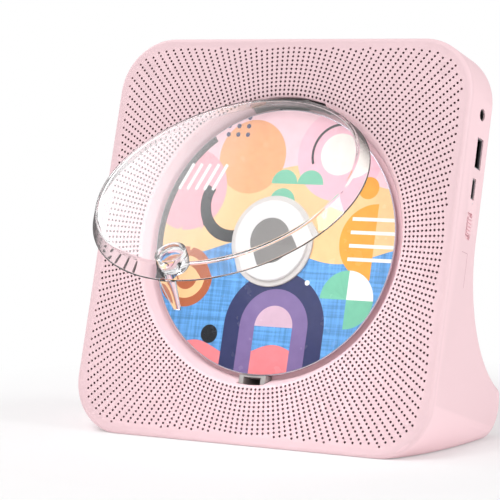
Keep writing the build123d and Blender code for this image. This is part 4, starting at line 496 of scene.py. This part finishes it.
def printed(name, code, pattern="grain"):
    """Ink on a disc's label: flat colour with faint brushy texture under a gloss lacquer."""
    mat, tree, shader = material(name)
    base = linear(code)
    vector = centred(tree, FACE @ Vector((0, WELL_V, 0)))
    if pattern == "weave":
        threads = []
        for stretch in ((1, 0.04, 1), (0.04, 1, 1)):
            mapping = tree.nodes.new("ShaderNodeMapping")
            mapping.inputs["Scale"].default_value = stretch
            tree.links.new(vector, mapping.inputs["Vector"])
            threads.append(noise(tree, mapping.outputs["Vector"], 900.0, 2.0))
        mixed = step_up(tree, math_node(tree, "ADD", *threads), 0.75, 1.25)
        colour = blend_colour(tree, mixed, toned(base, 0.72), toned(base, 1.25, 0.02))
    else:
        strokes = noise(tree, vector, 220.0, 4.0, 0.6)
        colour = blend_colour(tree, strokes, toned(base, 0.9), toned(base, 1.1, 0.01))
    tree.links.new(colour, shader.inputs["Base Color"])
    tree.links.new(spread(tree, noise(tree, vector, 150.0), 0.22, 0.3), shader.inputs["Roughness"])
    shader.inputs["Coat Weight"].default_value = 0.25
    shader.inputs["Coat Roughness"].default_value = 0.05
    return mat


def socket_metal_painted_dark_inside(name, mouth_x):
    """Bright sheet at the mouth of a socket; further in everything is near-black, partly the dark plastic
    tongue and partly painted shade on the sheet inside.
    """
    mat, tree, shader = material(name)
    source = tree.nodes.new("ShaderNodeTexCoord")
    parts = tree.nodes.new("ShaderNodeSeparateXYZ")
    tree.links.new(source.outputs["Object"], parts.inputs[0])
    # painted shade: everything past the mouth is coloured near-black
    rim = step_up(tree, parts.outputs["X"], mouth_x - 0.0012, mouth_x - 0.0001)
    grain = noise(tree, coords(tree, (1, 20, 1)), 400.0)
    bright = blend_colour(tree, grain, linear("8E8E92"), linear("B4B4B8"))
    tree.links.new(blend_colour(tree, rim, linear("1A1A1C"), bright), shader.inputs["Base Color"])
    tree.links.new(spread(tree, grain, 0.3, 0.45), shader.inputs["Roughness"])
    shader.inputs["Metallic"].default_value = 0.7
    return mat


def board_green(name):
    """Solder mask with faint copper runs."""
    mat, tree, shader = material(name)
    vector = coords(tree)
    runs = tree.nodes.new("ShaderNodeTexBrick")
    runs.inputs["Scale"].default_value = 260.0
    runs.inputs["Mortar Size"].default_value = 0.03
    tree.links.new(vector, runs.inputs["Vector"])
    colour = blend_colour(tree, runs.outputs["Fac"], linear("1F6B43"), linear("3F8F60"))
    tree.links.new(colour, shader.inputs["Base Color"])
    tree.links.new(spread(tree, noise(tree, vector, 300.0), 0.3, 0.42), shader.inputs["Roughness"])
    bump(tree, shader, runs.outputs["Fac"], 0.2, 0.0001)
    return mat


pink = moulded("pink_shell", "F6D5DA", rough=0.5)
pink_keys = moulded("pink_keys", "F3CDD3", rough=0.42, grain=0.06)
deck_pink = moulded("deck_pink", "EFC8CE", rough=0.45, grain=0.08)
# both clear materials carry painted shade on slanting surfaces, the plate's only a little
lens_clear = clear("clear_plastic")
plate_clear = clear("clear_plate", 0.08)
white_gloss = moulded("white_gloss", "E6E4E3", rough=0.3, shade=0.015, grain=0.03, edge=0.02, coat=0.3)
grey_white = moulded("pale_grey_plastic", "CDC8C5", rough=0.35, shade=0.03, grain=0.04, coat=0.2)
black = moulded("black_plastic", "17171A", rough=0.5, shade=0.2, grain=0.2, edge=0.4)
graphite = moulded("graphite_plastic", "2E2E31", rough=0.55, shade=0.15, grain=0.2, edge=0.3)
hinge_grey = moulded("hinge_grey", "8A8583", rough=0.45, grain=0.08)
catch_grey = moulded("catch_grey", "A8A4A2", rough=0.45, grain=0.08)
rubber = moulded("grey_rubber", "5B595B", rough=0.85, shade=0.1, grain=0.35, grain_scale=1800.0, edge=0.15)
foam = moulded("black_foam", "232325", rough=0.95, shade=0.3, grain=0.8, grain_scale=900.0, edge=0.1)
epoxy = moulded("chip_epoxy", "1C1C1E", rough=0.45, shade=0.2, grain=0.25, edge=0.3)
lamp = moulded("frosted_lamp", "E8EEF2", rough=0.3, shade=0.05, grain=0.05, edge=0.02, coat=0.4)
cone_paper = moulded("cone_paper", "3A3A3D", rough=0.9, shade=0.25, grain=0.7, grain_scale=700.0, edge=0.2)
steel = brushed("bright_steel", "B9BABD", 0.3)
motor_metal = brushed("motor_can", "9A9BA0", 0.35, (40, 1, 1), 0.9)
magnet_metal = brushed("magnet_steel", "6A6B6F", 0.4, (1, 1, 30), 0.9)
cloth = woven("speaker_cloth", "43353B", 0.0007)
badge = spun("spun_aluminium", "8A8785", FACE @ Vector((0, WELL_V, 0)))
green = board_green("circuit_board")

LOOKS = {
    "pink_shell": pink, "pink_deck": deck_pink, "speaker_cloth": cloth, "grey_rubber": rubber,
    "steel": steel, "clear_plastic": lens_clear, "dark_plastic": black, "white_plastic": white_gloss,
    "satin_aluminium": badge, "magnet_steel": magnet_metal, "motor_can": motor_metal,
    "chassis_plastic": graphite, "circuit_board": green, "chip_plastic": epoxy, "clear_lamp": lamp,
    "foam": foam, "paper_cone": cone_paper, "grey_plastic": hinge_grey,
}


def dress(node, mat):
    mesh = frame["nodes"][node].data
    mesh.materials.clear()
    mesh.materials.append(mat)


for entry in frame["record"]["subparts"]:
    if entry["material_slot"] in LOOKS:
        dress(entry["node"], LOOKS[entry["material_slot"]])
dress("usb_a_port", socket_metal_painted_dark_inside("socket_sheet_large", 0.08875))
dress("usb_c_port", socket_metal_painted_dark_inside("socket_sheet_small", 0.08885))
dress("lid_catch", catch_grey)
dress("objective_lens", lens_clear)
for name in frame["nodes"]:
    if name.endswith("_button") or name == "switch_knob":
        dress(name, pink_keys)
dress("puck_ring", grey_white)


# ---------------------------------------------------------------- perforated front cover
def ring_places(reach, angles, x=0.0, v=WELL_V):
    return [(x + reach * math.cos(math.radians(a)), v + reach * math.sin(math.radians(a))) for a in angles]


def inside_field(x, v):
    """True where the face has holes: a rounded square with a margin inside the face's edge."""
    margin = FIELD_MARGIN
    half = BODY_WIDTH / 2 - margin
    low, high, r = BODY_BOTTOM + margin + 0.4, BODY_TOP - margin, CORNER - margin
    if not (-half < x < half and low < v < high):
        return False
    dx = max(0.0, abs(x) - (half - r))
    dv = max(0.0, low + r - v, v - (high - r))
    return math.hypot(dx, dv) < r


def hole_cutters():
    """One thin post for each hole, on rings about the well. Those over the well's lip are blind."""
    verts = []
    faces = []
    sides = HOLE_SIDES
    ring = 0
    while FIRST_RING + RING_PITCH * ring < FIELD_REACH:
        radius = FIRST_RING + RING_PITCH * ring
        bottom = -BLIND_DEPTH if radius < MOUTH + LIP_ROUND + 1.2 else -FACE_WALL - 0.4
        for step in range(PER_RING):
            angle = 2 * math.pi * step / PER_RING
            x = radius * math.cos(angle)
            v = WELL_V + radius * math.sin(angle)
            if not inside_field(x, v):
                continue
            base = len(verts)
            for w in (1.0, bottom):
                for i in range(sides):
                    a = 2 * math.pi * i / sides
                    verts.append((x + HOLE_RADIUS * math.cos(a), v + HOLE_RADIUS * math.sin(a), w))
            faces.append(tuple(base + i for i in range(sides)))
            faces.append(tuple(base + sides + i for i in reversed(range(sides))))
            for i in range(sides):
                j = (i + 1) % sides
                faces.append((base + j, base + i, base + sides + i, base + sides + j))
        ring += 1
    return make_mesh("holes", verts, faces)


def lip_profile():
    """The well's funnel wall as (radius, w) points, with its rounded lip."""
    slope = (MOUTH - WELL_FLOOR) / WELL_DEPTH
    across = WELL_WALL * math.hypot(1, slope)
    lean = math.degrees(math.atan2(WELL_DEPTH, MOUTH - WELL_FLOOR))
    half = (180 - lean) / 2
    reach = LIP_ROUND / math.tan(math.radians(half))
    centre = (MOUTH + reach, -LIP_ROUND)
    rounding = arc(centre[0], centre[1], LIP_ROUND, 90, 90 + lean, 16)
    hem = MOUTH + LIP_ROUND
    points = [(hem, 0)] + rounding
    points += [
        (WELL_FLOOR, -WELL_DEPTH),
        (WELL_FLOOR + across, -WELL_DEPTH),
        (MOUTH + across - slope * FACE_WALL, -FACE_WALL),
        (hem, -FACE_WALL),
    ]
    return points


def world_below(height):
    """A large block under a level of the world, drawn in the face frame."""
    mesh = box(-FAR, FAR, -FAR, FAR, -1.5 * FAR, 0)
    mesh.transform(Matrix.Translation((0, 0, height)))
    mesh.transform(Matrix.Scale(0.001, 4))
    mesh.transform(FACE.inverted())
    outward(mesh)
    return mesh


def front_shell():
    """The square face with its rounded edge, rebate, well lip, pocket, slot, bosses and holes."""
    levels = [(EDGE_ROUND + 0.5, 0.0)]
    for a in [math.radians(9 * i) for i in range(10, -1, -1)]:
        levels.append((EDGE_ROUND - EDGE_ROUND * math.cos(a), -EDGE_ROUND + EDGE_ROUND * math.sin(a)))
    levels += [(0.0, -SEAM), (LIP_OUTSIDE, -SEAM), (LIP_OUTSIDE, -LIP_DEPTH)]
    levels += [(LIP_INSIDE, -LIP_DEPTH), (LIP_INSIDE, -FACE_WALL)]
    shell = stack([[(x, v, w) for x, v in outline(inset)] for inset, w in levels], "shell")
    behind = box(-FAR, FAR, -FAR, FAR, -40, -SEAM - 0.001)
    shell = cut(shell, keep(world_below(LIP_FLOOR), behind))
    shell = cut(shell, post(MOUTH + LIP_ROUND, 5, -5, 0, WELL_V, 192))
    shell = add(shell, lathe(lip_profile()))
    pocket_low, pocket_high = WELL_V + HINGE_POCKET_BELOW, WELL_V + HINGE_POCKET_ABOVE
    notch = keep(post(NOTCH_RADIUS, FACE_WALL, -WELL_DEPTH - 1, 0, WELL_V, 192),
                 box(-NOTCH_HALF, NOTCH_HALF, pocket_low, pocket_high, -20, 20))
    shell = cut(shell, notch)
    slot = cut(post(SLOT_OUTER, 5, -WELL_DEPTH - 2, 0, WELL_V, 192), post(SLOT_INNER, 6, -20, 0, WELL_V, 192))
    shell = cut(shell, keep(slot, box(-SLOT_HALF, SLOT_HALF, WELL_V - 90, WELL_V - 40, -20, 20)))
    speaker_screws = ring_places(SPEAKER_SCREW_RING, SPEAKER_SCREW_ANGLES, SPEAKER_X, SPEAKER_V)
    bosses = (
        (COVER_SCREWS, 3.8, 10.0, 1.25),
        (ring_places(DECK_SCREW_RING, DECK_SCREW_ANGLES), 3.4, 8.4, 0.9),
        (speaker_screws, 2.6, 5.6, 0.9),
        ([(-x, v) for x, v in speaker_screws], 2.6, 5.6, 0.9),
    )
    for places, radius, depth, pilot in bosses:
        for x, v in places:
            shell = add(shell, post(radius, -FACE_WALL + 0.01, -depth, x, v))
            shell = cut(shell, post(pilot, -FACE_WALL - 0.6, -depth - 1, x, v, 24))
    shell = cut(shell, world_below(FLOOR_GAP))
    return cut(shell, hole_cutters())


def paint_shade_in_holes(mesh):
    """Gives the walls of the face's holes the darker material, the mesh's second: painted shade, since the
    walls are the same pink plastic as the face and only look dark from the shade inside the holes.
    """
    nearest = FIRST_RING - HOLE_RADIUS - 0.1
    for p in mesh.polygons:
        x, v, w = p.center
        upright = abs(p.normal.z) < 0.3 and 0.05 - FACE_WALL < w < -0.05
        if upright and math.hypot(x, v - WELL_V) > nearest and inside_field(x, v):
            p.material_index = 1


shell_mesh = front_shell()
shell_mesh.materials.clear()
shell_mesh.materials.append(pink)
# the darker pink of the hole walls is painted shade
shell_mesh.materials.append(moulded("painted_hole_shade", "A07E84", rough=0.7))
paint_shade_in_holes(shell_mesh)
piece("perforated_front", shell_mesh, "root", None, ["front_cover"], angle=32.0)
flat_edges_sharp(shell_mesh, (FACE.to_3x3() @ Vector((0, 0, 1))).normalized())


# ---------------------------------------------------------------- clear lid
def opened():
    """Swings the closed lid up about its hinge, in the face frame."""
    to_hinge = Matrix.Translation((0, HINGE_V, -HINGE_DEPTH))
    return FACE @ to_hinge @ Matrix.Rotation(math.radians(-LID_OPEN), 4, "X") @ to_hinge.inverted()


LID_RIM = 62.2
LID_RIM_DEPTH = 2.9
LID_PLATE = 58.6
LID_HEIGHT = 7.15
LID_WALL = 1.6
LID_PLATE_WALL = 1.8
KNOB = 6.7
KNOB_V = WELL_V - 54.0
LEAF_HALF = 8
LEAF_ROD = 0.9
PIN_HOLE = 0.55
TONGUE_LENGTH = 14.0
TONGUE_ROOT = 4.0            # half its width at the rim
TONGUE_TIP = 1.8             # and at its end
TONGUE_STEPS = 10


def rounded_profile(points, rounds, steps=8):
    """A closed outline with the corners in rounds, {index: radius}, rounded."""
    result = []
    count = len(points)
    for i, (x, y) in enumerate(points):
        radius = rounds.get(i, 0.0)
        if not radius:
            result.append((x, y))
            continue
        here = Vector((x, y))
        before = (Vector(points[i - 1]) - here).normalized()
        after = (Vector(points[(i + 1) % count]) - here).normalized()
        half = before.angle(after) / 2
        reach = radius / math.tan(half)
        centre = here + (before + after).normalized() * (radius / math.sin(half))
        start = here + before * reach - centre
        end = here + after * reach - centre
        turn = start.angle_signed(end)
        for k in range(steps + 1):
            a = -turn * k / steps
            c, s = math.cos(a), math.sin(a)
            spot = centre + Vector((start.x * c - start.y * s, start.x * s + start.y * c))
            result.append((spot.x, spot.y))
    return result


def lid_mesh():
    """The shallow clear dish, closed: plate, flared rim, hinge leaf, latch tongue and the knob's hole."""
    top = LID_HEIGHT - LID_RIM_DEPTH
    points = [
        (0, top),
        (LID_PLATE, top),
        (LID_RIM, -LID_RIM_DEPTH),
        (LID_RIM - LID_WALL, -LID_RIM_DEPTH),
        (LID_PLATE - LID_WALL + 0.4, top - LID_PLATE_WALL),
        (0, top - LID_PLATE_WALL),
    ]
    lid = lathe(rounded_profile(points, {1: 1.4, 2: 0.35, 3: 0.35, 4: 1.0}), segments=256)
    leaf = box(-LEAF_HALF, LEAF_HALF, WELL_V + 40, HINGE_V, -1.3, -0.1)
    leaf = cut(leaf, post(LID_RIM - 2.0, 5, -5, 0, WELL_V, 256))
    lid = add(lid, leaf, rod_x(LEAF_ROD, -LEAF_HALF, LEAF_HALF, HINGE_V, -HINGE_DEPTH))
    outer = WELL_V - LID_RIM
    root = -LID_RIM_DEPTH + 1.0
    tip = -LID_RIM_DEPTH - TONGUE_LENGTH
    rings = []
    for share in [i / TONGUE_STEPS for i in range(TONGUE_STEPS + 1)]:
        half = TONGUE_ROOT + (TONGUE_TIP - TONGUE_ROOT) * share
        w = root + (tip - root) * share
        out = outer - 0.7 - 0.5 * share
        thick = 1.5 - 0.6 * share
        ring = []
        for cx, cv, start in ((half - 0.3, out + thick - 0.3, 0), (-half + 0.3, out + thick - 0.3, 90),
                              (-half + 0.3, out + 0.3, 180), (half - 0.3, out + 0.3, 270)):
            ring += [(x, v, w) for x, v in arc(cx, cv, 0.3, start, start + 90, 4)]
        rings.append(ring)
    lid = add(lid, stack(rings, "tongue"))
    lid = cut(lid, post(KNOB, 20, -LID_RIM_DEPTH - 0.5, 0, KNOB_V, 96))
    return cut(lid, rod_x(PIN_HOLE, -20, 20, HINGE_V, -HINGE_DEPTH))


def knob_mesh():
    top = LID_HEIGHT - LID_RIM_DEPTH + 2.0
    bottom = -LID_RIM_DEPTH
    dish = KNOB - 1.5
    points = [(0, bottom), (KNOB, bottom), (KNOB, top), (dish, top), (dish, top - 1.3), (0, top - 1.3)]
    return lathe(rounded_profile(points, {1: 3.2, 2: 0.45, 3: 0.3, 4: 0.3}), 0, KNOB_V, 96)


def shade_plate(mesh):
    """Gives the lid's flat plate the clear material with only a little painted edge shade, the mesh's second.
    """
    for p in mesh.polygons:
        x, v, w = p.center
        if abs(p.normal.z) > 0.999 and w > 0 and math.hypot(x, v - WELL_V) < LID_PLATE - 1.0:
            p.material_index = 1


window_mesh = lid_mesh()
window_mesh.materials.clear()
window_mesh.materials.append(lens_clear)
window_mesh.materials.append(plate_clear)
shade_plate(window_mesh)
piece("clear_lid", window_mesh, "lid", None, ["dust_cover"], angle=30, placing=opened())
piece("clear_knob", knob_mesh(), "lid", lens_clear, ["lid_knob"], angle=30, placing=opened())


# ---------------------------------------------------------------- disc with a printed label
DISC_TOP = -5.0
DISC_UNDER = -6.2
DISC_RADIUS = 60
DISC_BORE = 7.5
LABEL_OUTER = 59.55
LABEL_INNER = 20.0
LABEL_LIFT = 0.03


def circle(cx, cy, radius, steps=72):
    return arc(cx, cy, radius, 0, 360 - 360 / steps, steps - 1)


def sector(cx, cy, inner, outer, start, end, steps=40):
    return arc(cx, cy, outer, start, end, steps) + arc(cx, cy, inner, start, end, steps)[::-1]


def half_disc(cx, cy, radius, start, steps=40):
    return arc(cx, cy, radius, start, start + 180, steps)


def strip(x0, y0, x1, y1, width):
    dx, dy = x1 - x0, y1 - y0
    length = math.hypot(dx, dy)
    nx, ny = -dy / length * width / 2, dx / length * width / 2
    return [(x0 + nx, y0 + ny), (x1 + nx, y1 + ny), (x1 - nx, y1 - ny), (x0 - nx, y0 - ny)]


def wavy(y, height, length, low, phase=0.0):
    """A field right across the label, from a waving top down to low."""
    top = [(x, y + height * math.sin(x / length * 2 * math.pi + phase)) for x in range(-62, 63, 2)]
    return top + [(62, low), (-62, low)]


def artwork():
    """An abstract pattern for the label, with one painted shadow among it: (ink, outline) pairs, later ones
    on top.
    """
    shapes = [
        ("peach", wavy(30, 5, 95, -62, 0.6)),
        ("apricot", circle(-16, 38, 17)),
        ("blush", circle(28, 40, 21)),
        ("cream", circle(28, 40, 9.5)),
        ("rose", circle(-46, 22, 19)),
        ("blue", wavy(-4, 4.5, 80, -62, 2.2)),
        ("coral", wavy(-49, 3, 40, -62, 0.4)),
        ("mustard", half_disc(50, 2, 17, 90)),
        ("terracotta", circle(-42, -18, 13.5)),
        ("peach", circle(-42, -18, 9.5)),
        ("terracotta", circle(-42, -18, 5.5)),
        ("navy", sector(6, -38, 17, 25, 0, 180)),
        ("purple", sector(6, -38, 9.5, 17, 0, 180)),
        ("mauve", half_disc(6, -38, 9.5, 0)),
        ("navy", [(-19, -38), (-11, -38), (-11, -62), (-19, -62)]),
        ("navy", [(23, -38), (31, -38), (31, -62), (23, -62)]),
        ("purple", [(-11, -38), (-3.5, -38), (-3.5, -62), (-11, -62)]),
        ("purple", [(15.5, -38), (23, -38), (23, -62), (15.5, -62)]),
        ("mint", sector(40, -24, 0.01, 13, 90, 180)),
        ("mint", sector(40, -24, 0.01, 13, 270, 360)),
        ("white", sector(40, -24, 0.01, 13, 0, 90)),
        # painted shadow: a dark arc for the shadow of the lid's rim, not part of the print
        ("graphite", sector(0, 0, 56.6, 60, 128, 196)),
        ("black", sector(-22, 16, 12, 17.5, 150, 330)),
        ("mint", half_disc(2, 26, 6.5, 0)),
        ("mint", half_disc(15, 26, 6.5, 0)),
        ("mint", half_disc(2, 17.5, 6.5, 0)),
        ("black", circle(-26, -43, 4.2)),
        ("mustard", circle(44, 26, 5.0)),
        ("black", sector(28, 40, 13, 14.2, 20, 200)),
    ]
    for i in range(5):
        shapes.append(("white", strip(-52 + 4.4 * i, 22, -46 + 4.4 * i, 34, 1.5)))
    for i in range(4):
        shapes.append(("cream", strip(38, 12 - 6.0 * i, 60, 12 - 6.0 * i, 1.6)))
    for i in range(3):
        for j in range(3):
            shapes.append(("navy", circle(-30 + 5 * i, 48 + 4 * j, 1.1, 16)))
    for i in range(4):
        shapes.append(("white", circle(-8 + 9.3 * i, -17.5 + (3.2 if i in (1, 2) else 0), 1.2, 16)))
    return shapes


# graphite is the colour of the painted shadow arc on the label
INKS = {
    "blush": "F7BCCB", "peach": "FBC78F", "apricot": "F5A873", "cream": "F6EFE6", "rose": "F2A9B4",
    "blue": "5B9BD8", "coral": "F0868C", "mustard": "ECA238", "terracotta": "B6633F", "navy": "2E3462",
    "purple": "7F6A9D", "mauve": "D3B1C4", "mint": "74C2A2", "white": "F4F2EF", "black": "151A22",
    "graphite": "4A4648", "base": "F8CBD3",
}


def contains(outline_points, x, y):
    """True where a point lies inside a closed outline, by the even-odd rule."""
    inside = False
    count = len(outline_points)
    for i in range(count):
        x0, y0 = outline_points[i]
        x1, y1 = outline_points[(i + 1) % count]
        if (y0 > y) != (y1 > y) and x < (x1 - x0) * (y - y0) / (y1 - y0) + x0:
            inside = not inside
    return inside


def label_mesh(outer, inner, w):
    """The label side as one flat sheet whose faces follow the printed shapes."""
    shapes = artwork()
    points = []
    edges = []
    for loop in [circle(0, 0, outer, 192), circle(0, 0, inner, 96)] + [s[1] for s in shapes]:
        base = len(points)
        points += [Vector(p) for p in loop]
        edges += [(base + i, base + (i + 1) % len(loop)) for i in range(len(loop))]
    verts, _, faces, _, _, _ = delaunay_2d_cdt(points, edges, [], 0, 1e-4)
    names = list(INKS)
    kept = []
    inks = []
    for face in faces:
        cx = sum(verts[i].x for i in face) / 3
        cy = sum(verts[i].y for i in face) / 3
        if not inner < math.hypot(cx, cy) < outer - 0.001:
            continue
        ink = "base"
        for name, loop in shapes:
            if contains(loop, cx, cy):
                ink = name
        kept.append(tuple(face))
        inks.append(names.index(ink))
    used = sorted({i for f in kept for i in f})
    number = {old: new for new, old in enumerate(used)}
    mesh = make_mesh("label", [(verts[i].x, WELL_V + verts[i].y, w) for i in used],
                     [tuple(number[i] for i in f) for f in kept])
    for name in names:
        pattern = "weave" if name == "blue" else "grain"
        mesh.materials.append(printed("ink_" + name, INKS[name], pattern))
    for p, ink in zip(mesh.polygons, inks):
        p.material_index = ink
    return mesh


def foil(name):
    """The disc's silvery underside and clear edge, with a faint painted sheen of bands in its colour."""
    mat, tree, shader = material(name)
    vector = centred(tree, FACE @ Vector((0, WELL_V, 0)))
    rings = wave(tree, vector, 60.0, "Z", 1.0, rings=True)
    # painted sheen: rings of bluish and lavender silver
    tree.links.new(blend_colour(tree, rings, linear("B9BDC9"), linear("D6D3DE")), shader.inputs["Base Color"])
    tree.links.new(spread(tree, rings, 0.12, 0.2), shader.inputs["Roughness"])
    shader.inputs["Metallic"].default_value = 0.8
    return mat


disc_section = [
    (DISC_BORE, DISC_TOP),
    (DISC_RADIUS, DISC_TOP),
    (DISC_RADIUS, DISC_UNDER),
    (DISC_BORE, DISC_UNDER),
]
disc_body = lathe(rounded_profile(disc_section, {0: 0.2, 1: 0.25, 2: 0.25, 3: 0.2}, 4))
piece("disc_plate", disc_body, "spindle", foil("disc_foil"), ["disc"], angle=40)
label = label_mesh(LABEL_OUTER, LABEL_INNER, DISC_TOP + LABEL_LIFT)
piece("disc_label", label, "spindle", None, ())


# ---------------------------------------------------------------- small side marks
MARK_WIDTH = 0.24
MARK_LEVELS = (89.15, 89.28)


def side_mark():
    """A thin darker-pink line around the foot of the slide switch's label area."""
    parts = []
    for line in ((10.5, 90.8, 16.5, 90.9), (16.5, 90.9, 16.7, 76.0)):
        corners = strip(*line, MARK_WIDTH)
        parts.append(stack([[(x, v, -depth) for depth, v in corners] for x in MARK_LEVELS], "mark"))
    return merged(parts, "mark")


piece("side_mark", side_mark(), "root", moulded("side_line_tone", "C79AA5", 0.5), ())


# ---------------------------------------------------------------- floor, light and camera
FLOOR_HALF = 6
FLOOR_FADE = (0.115, 0.25)   # metres from the middle, over which the floor turns white
FLOOR_WHITE = 0.25           # the least share of white, close to the object


def backdrop():
    """A pale floor that keeps the shadow and fades to plain white."""
    half = FLOOR_HALF
    corners = [(-half, -half, 0), (half, -half, 0), (half, half, 0), (-half, half, 0)]
    mesh = make_mesh("floor", corners, [(0, 1, 2, 3)])
    floor = bpy.data.objects.new("floor", mesh)
    bpy.context.scene.collection.objects.link(floor)
    mat = bpy.data.materials.new("floor")
    mat.use_nodes = True
    tree = mat.node_tree
    tree.nodes.clear()
    out = tree.nodes.new("ShaderNodeOutputMaterial")
    matte = tree.nodes.new("ShaderNodeBsdfDiffuse")
    matte.inputs["Color"].default_value = (0.92, 0.915, 0.92, 1)
    glow = tree.nodes.new("ShaderNodeEmission")
    glow.inputs["Color"].default_value = (1, 1, 1, 1)
    path = tree.nodes.new("ShaderNodeLightPath")
    seen = math_node(tree, "MAXIMUM", path.outputs["Is Camera Ray"], path.outputs["Is Glossy Ray"])
    seen = math_node(tree, "MAXIMUM", seen, path.outputs["Is Transmission Ray"])
    source = tree.nodes.new("ShaderNodeTexCoord")
    reach = tree.nodes.new("ShaderNodeVectorMath")
    reach.operation = "LENGTH"
    tree.links.new(source.outputs["Object"], reach.inputs[0])
    far = step_up(tree, reach.outputs["Value"], *FLOOR_FADE)
    share = math_node(tree, "MULTIPLY", seen, math_node(tree, "MAXIMUM", far, FLOOR_WHITE))
    tree.links.new(mixed_shader(tree, share, matte, glow).outputs[0], out.inputs["Surface"])
    mesh.materials.append(mat)


def sky(level):
    """An even studio light of a level, seen as white."""
    world = bpy.data.worlds.new("studio")
    bpy.context.scene.world = world
    world.use_nodes = True
    tree = world.node_tree
    tree.nodes.clear()
    out = tree.nodes.new("ShaderNodeOutputWorld")
    seen_as = tree.nodes.new("ShaderNodeBackground")
    seen_as.inputs["Color"].default_value = (1, 1, 1, 1)
    seen_as.inputs["Strength"].default_value = 1.0
    lights_as = tree.nodes.new("ShaderNodeBackground")
    lights_as.inputs["Color"].default_value = (1, 0.99, 0.99, 1)
    lights_as.inputs["Strength"].default_value = level
    path = tree.nodes.new("ShaderNodeLightPath")
    seen = math_node(tree, "MAXIMUM", path.outputs["Is Camera Ray"], path.outputs["Is Transmission Ray"])
    tree.links.new(mixed_shader(tree, seen, lights_as, seen_as).outputs[0], out.inputs["Surface"])


def soft_box(name, size, power):
    """A square area light."""
    data = bpy.data.lights.new(name, "AREA")
    data.shape = "RECTANGLE"
    data.size = data.size_y = size
    data.energy = power
    light = bpy.data.objects.new(name, data)
    bpy.context.scene.collection.objects.link(light)
    return light


def area_light(name, place, target, size, power):
    light = soft_box(name, size, power)
    light.location = place
    light.rotation_euler = (Vector(target) - Vector(place)).to_track_quat("-Z", "Y").to_euler()


FRAME_PIXELS = 500
FOCAL_PIXELS = 2169.37
TARGET_PIXEL = (288.88, 243.78)
SENSOR = 36.0
CAMERA_TARGET = Vector((0, 0, 0.085))
CAMERA_DISTANCE = 0.97804
CAMERA_AZIMUTH = math.radians(28.50)
CAMERA_ELEVATION = math.radians(4.98)
CAMERA_BACK = Vector((math.sin(CAMERA_AZIMUTH) * math.cos(CAMERA_ELEVATION),
                      -math.cos(CAMERA_AZIMUTH) * math.cos(CAMERA_ELEVATION), math.sin(CAMERA_ELEVATION)))
CAMERA_PLACE = CAMERA_TARGET + CAMERA_BACK * CAMERA_DISTANCE
VEIL_OVERLAP = 0.15          # how far past the plate's middle the reflection ends, as a share of its width


def veil_light(distance, size, power):
    """A soft box whose fading reflection lies on the left of the open lid."""
    plate = opened()
    level = LID_HEIGHT - LID_RIM_DEPTH
    normal = (plate.to_3x3() @ Vector((0, 0, 1))).normalized()

    def mirrored(x, v):
        spot = plate @ Vector((x, v, level))
        ray = (spot - CAMERA_PLACE).normalized()
        return spot + (ray - 2 * ray.dot(normal) * normal) * distance

    left = mirrored(-LID_PLATE, WELL_V)
    right = mirrored(LID_PLATE, WELL_V)
    heart = plate @ Vector((0, WELL_V, level))
    along = (right - left).normalized()
    centre = (left + right) / 2 + along * ((right - left).length * VEIL_OVERLAP - size * 0.5)
    light = soft_box("veil", size, power)
    light.data.use_nodes = True
    tree = light.data.node_tree
    geometry = tree.nodes.new("ShaderNodeNewGeometry")
    parts = tree.nodes.new("ShaderNodeSeparateXYZ")
    tree.links.new(geometry.outputs["Parametric"], parts.inputs[0])
    fade = step_up(tree, parts.outputs["X"], 1.0, 0.75)
    tree.links.new(fade, tree.nodes["Emission"].inputs["Strength"])
    facing = (centre - heart).normalized()
    across = (along - along.dot(facing) * facing).normalized()
    upward = facing.cross(across)
    light.matrix_world = Matrix((
        (across.x, upward.x, facing.x, centre.x),
        (across.y, upward.y, facing.y, centre.y),
        (across.z, upward.z, facing.z, centre.z),
        (0, 0, 0, 1),
    ))


backdrop()
sky(0.45)
area_light("key", (-0.3, -1.3, 1.9), (0, 0, 0.08), 1.0, 21)
area_light("fill", (1.75, 0.1, 0.7), (0, 0, 0.08), 0.8, 12.5)
veil_light(1.2, 0.8, 5.2)


def camera():
    data = bpy.data.cameras.new("camera")
    data.sensor_width = SENSOR
    data.lens = SENSOR * FOCAL_PIXELS / FRAME_PIXELS
    data.shift_x = -(TARGET_PIXEL[0] - FRAME_PIXELS / 2) / FRAME_PIXELS
    data.shift_y = -(FRAME_PIXELS / 2 - TARGET_PIXEL[1]) / FRAME_PIXELS
    data.clip_start = 0.01
    view = bpy.data.objects.new("camera", data)
    bpy.context.scene.collection.objects.link(view)
    view.location = CAMERA_PLACE
    view.rotation_euler = (-CAMERA_BACK).to_track_quat("-Z", "Y").to_euler()
    bpy.context.scene.camera = view


camera()
bpy.context.scene.view_settings.view_transform = "Standard"
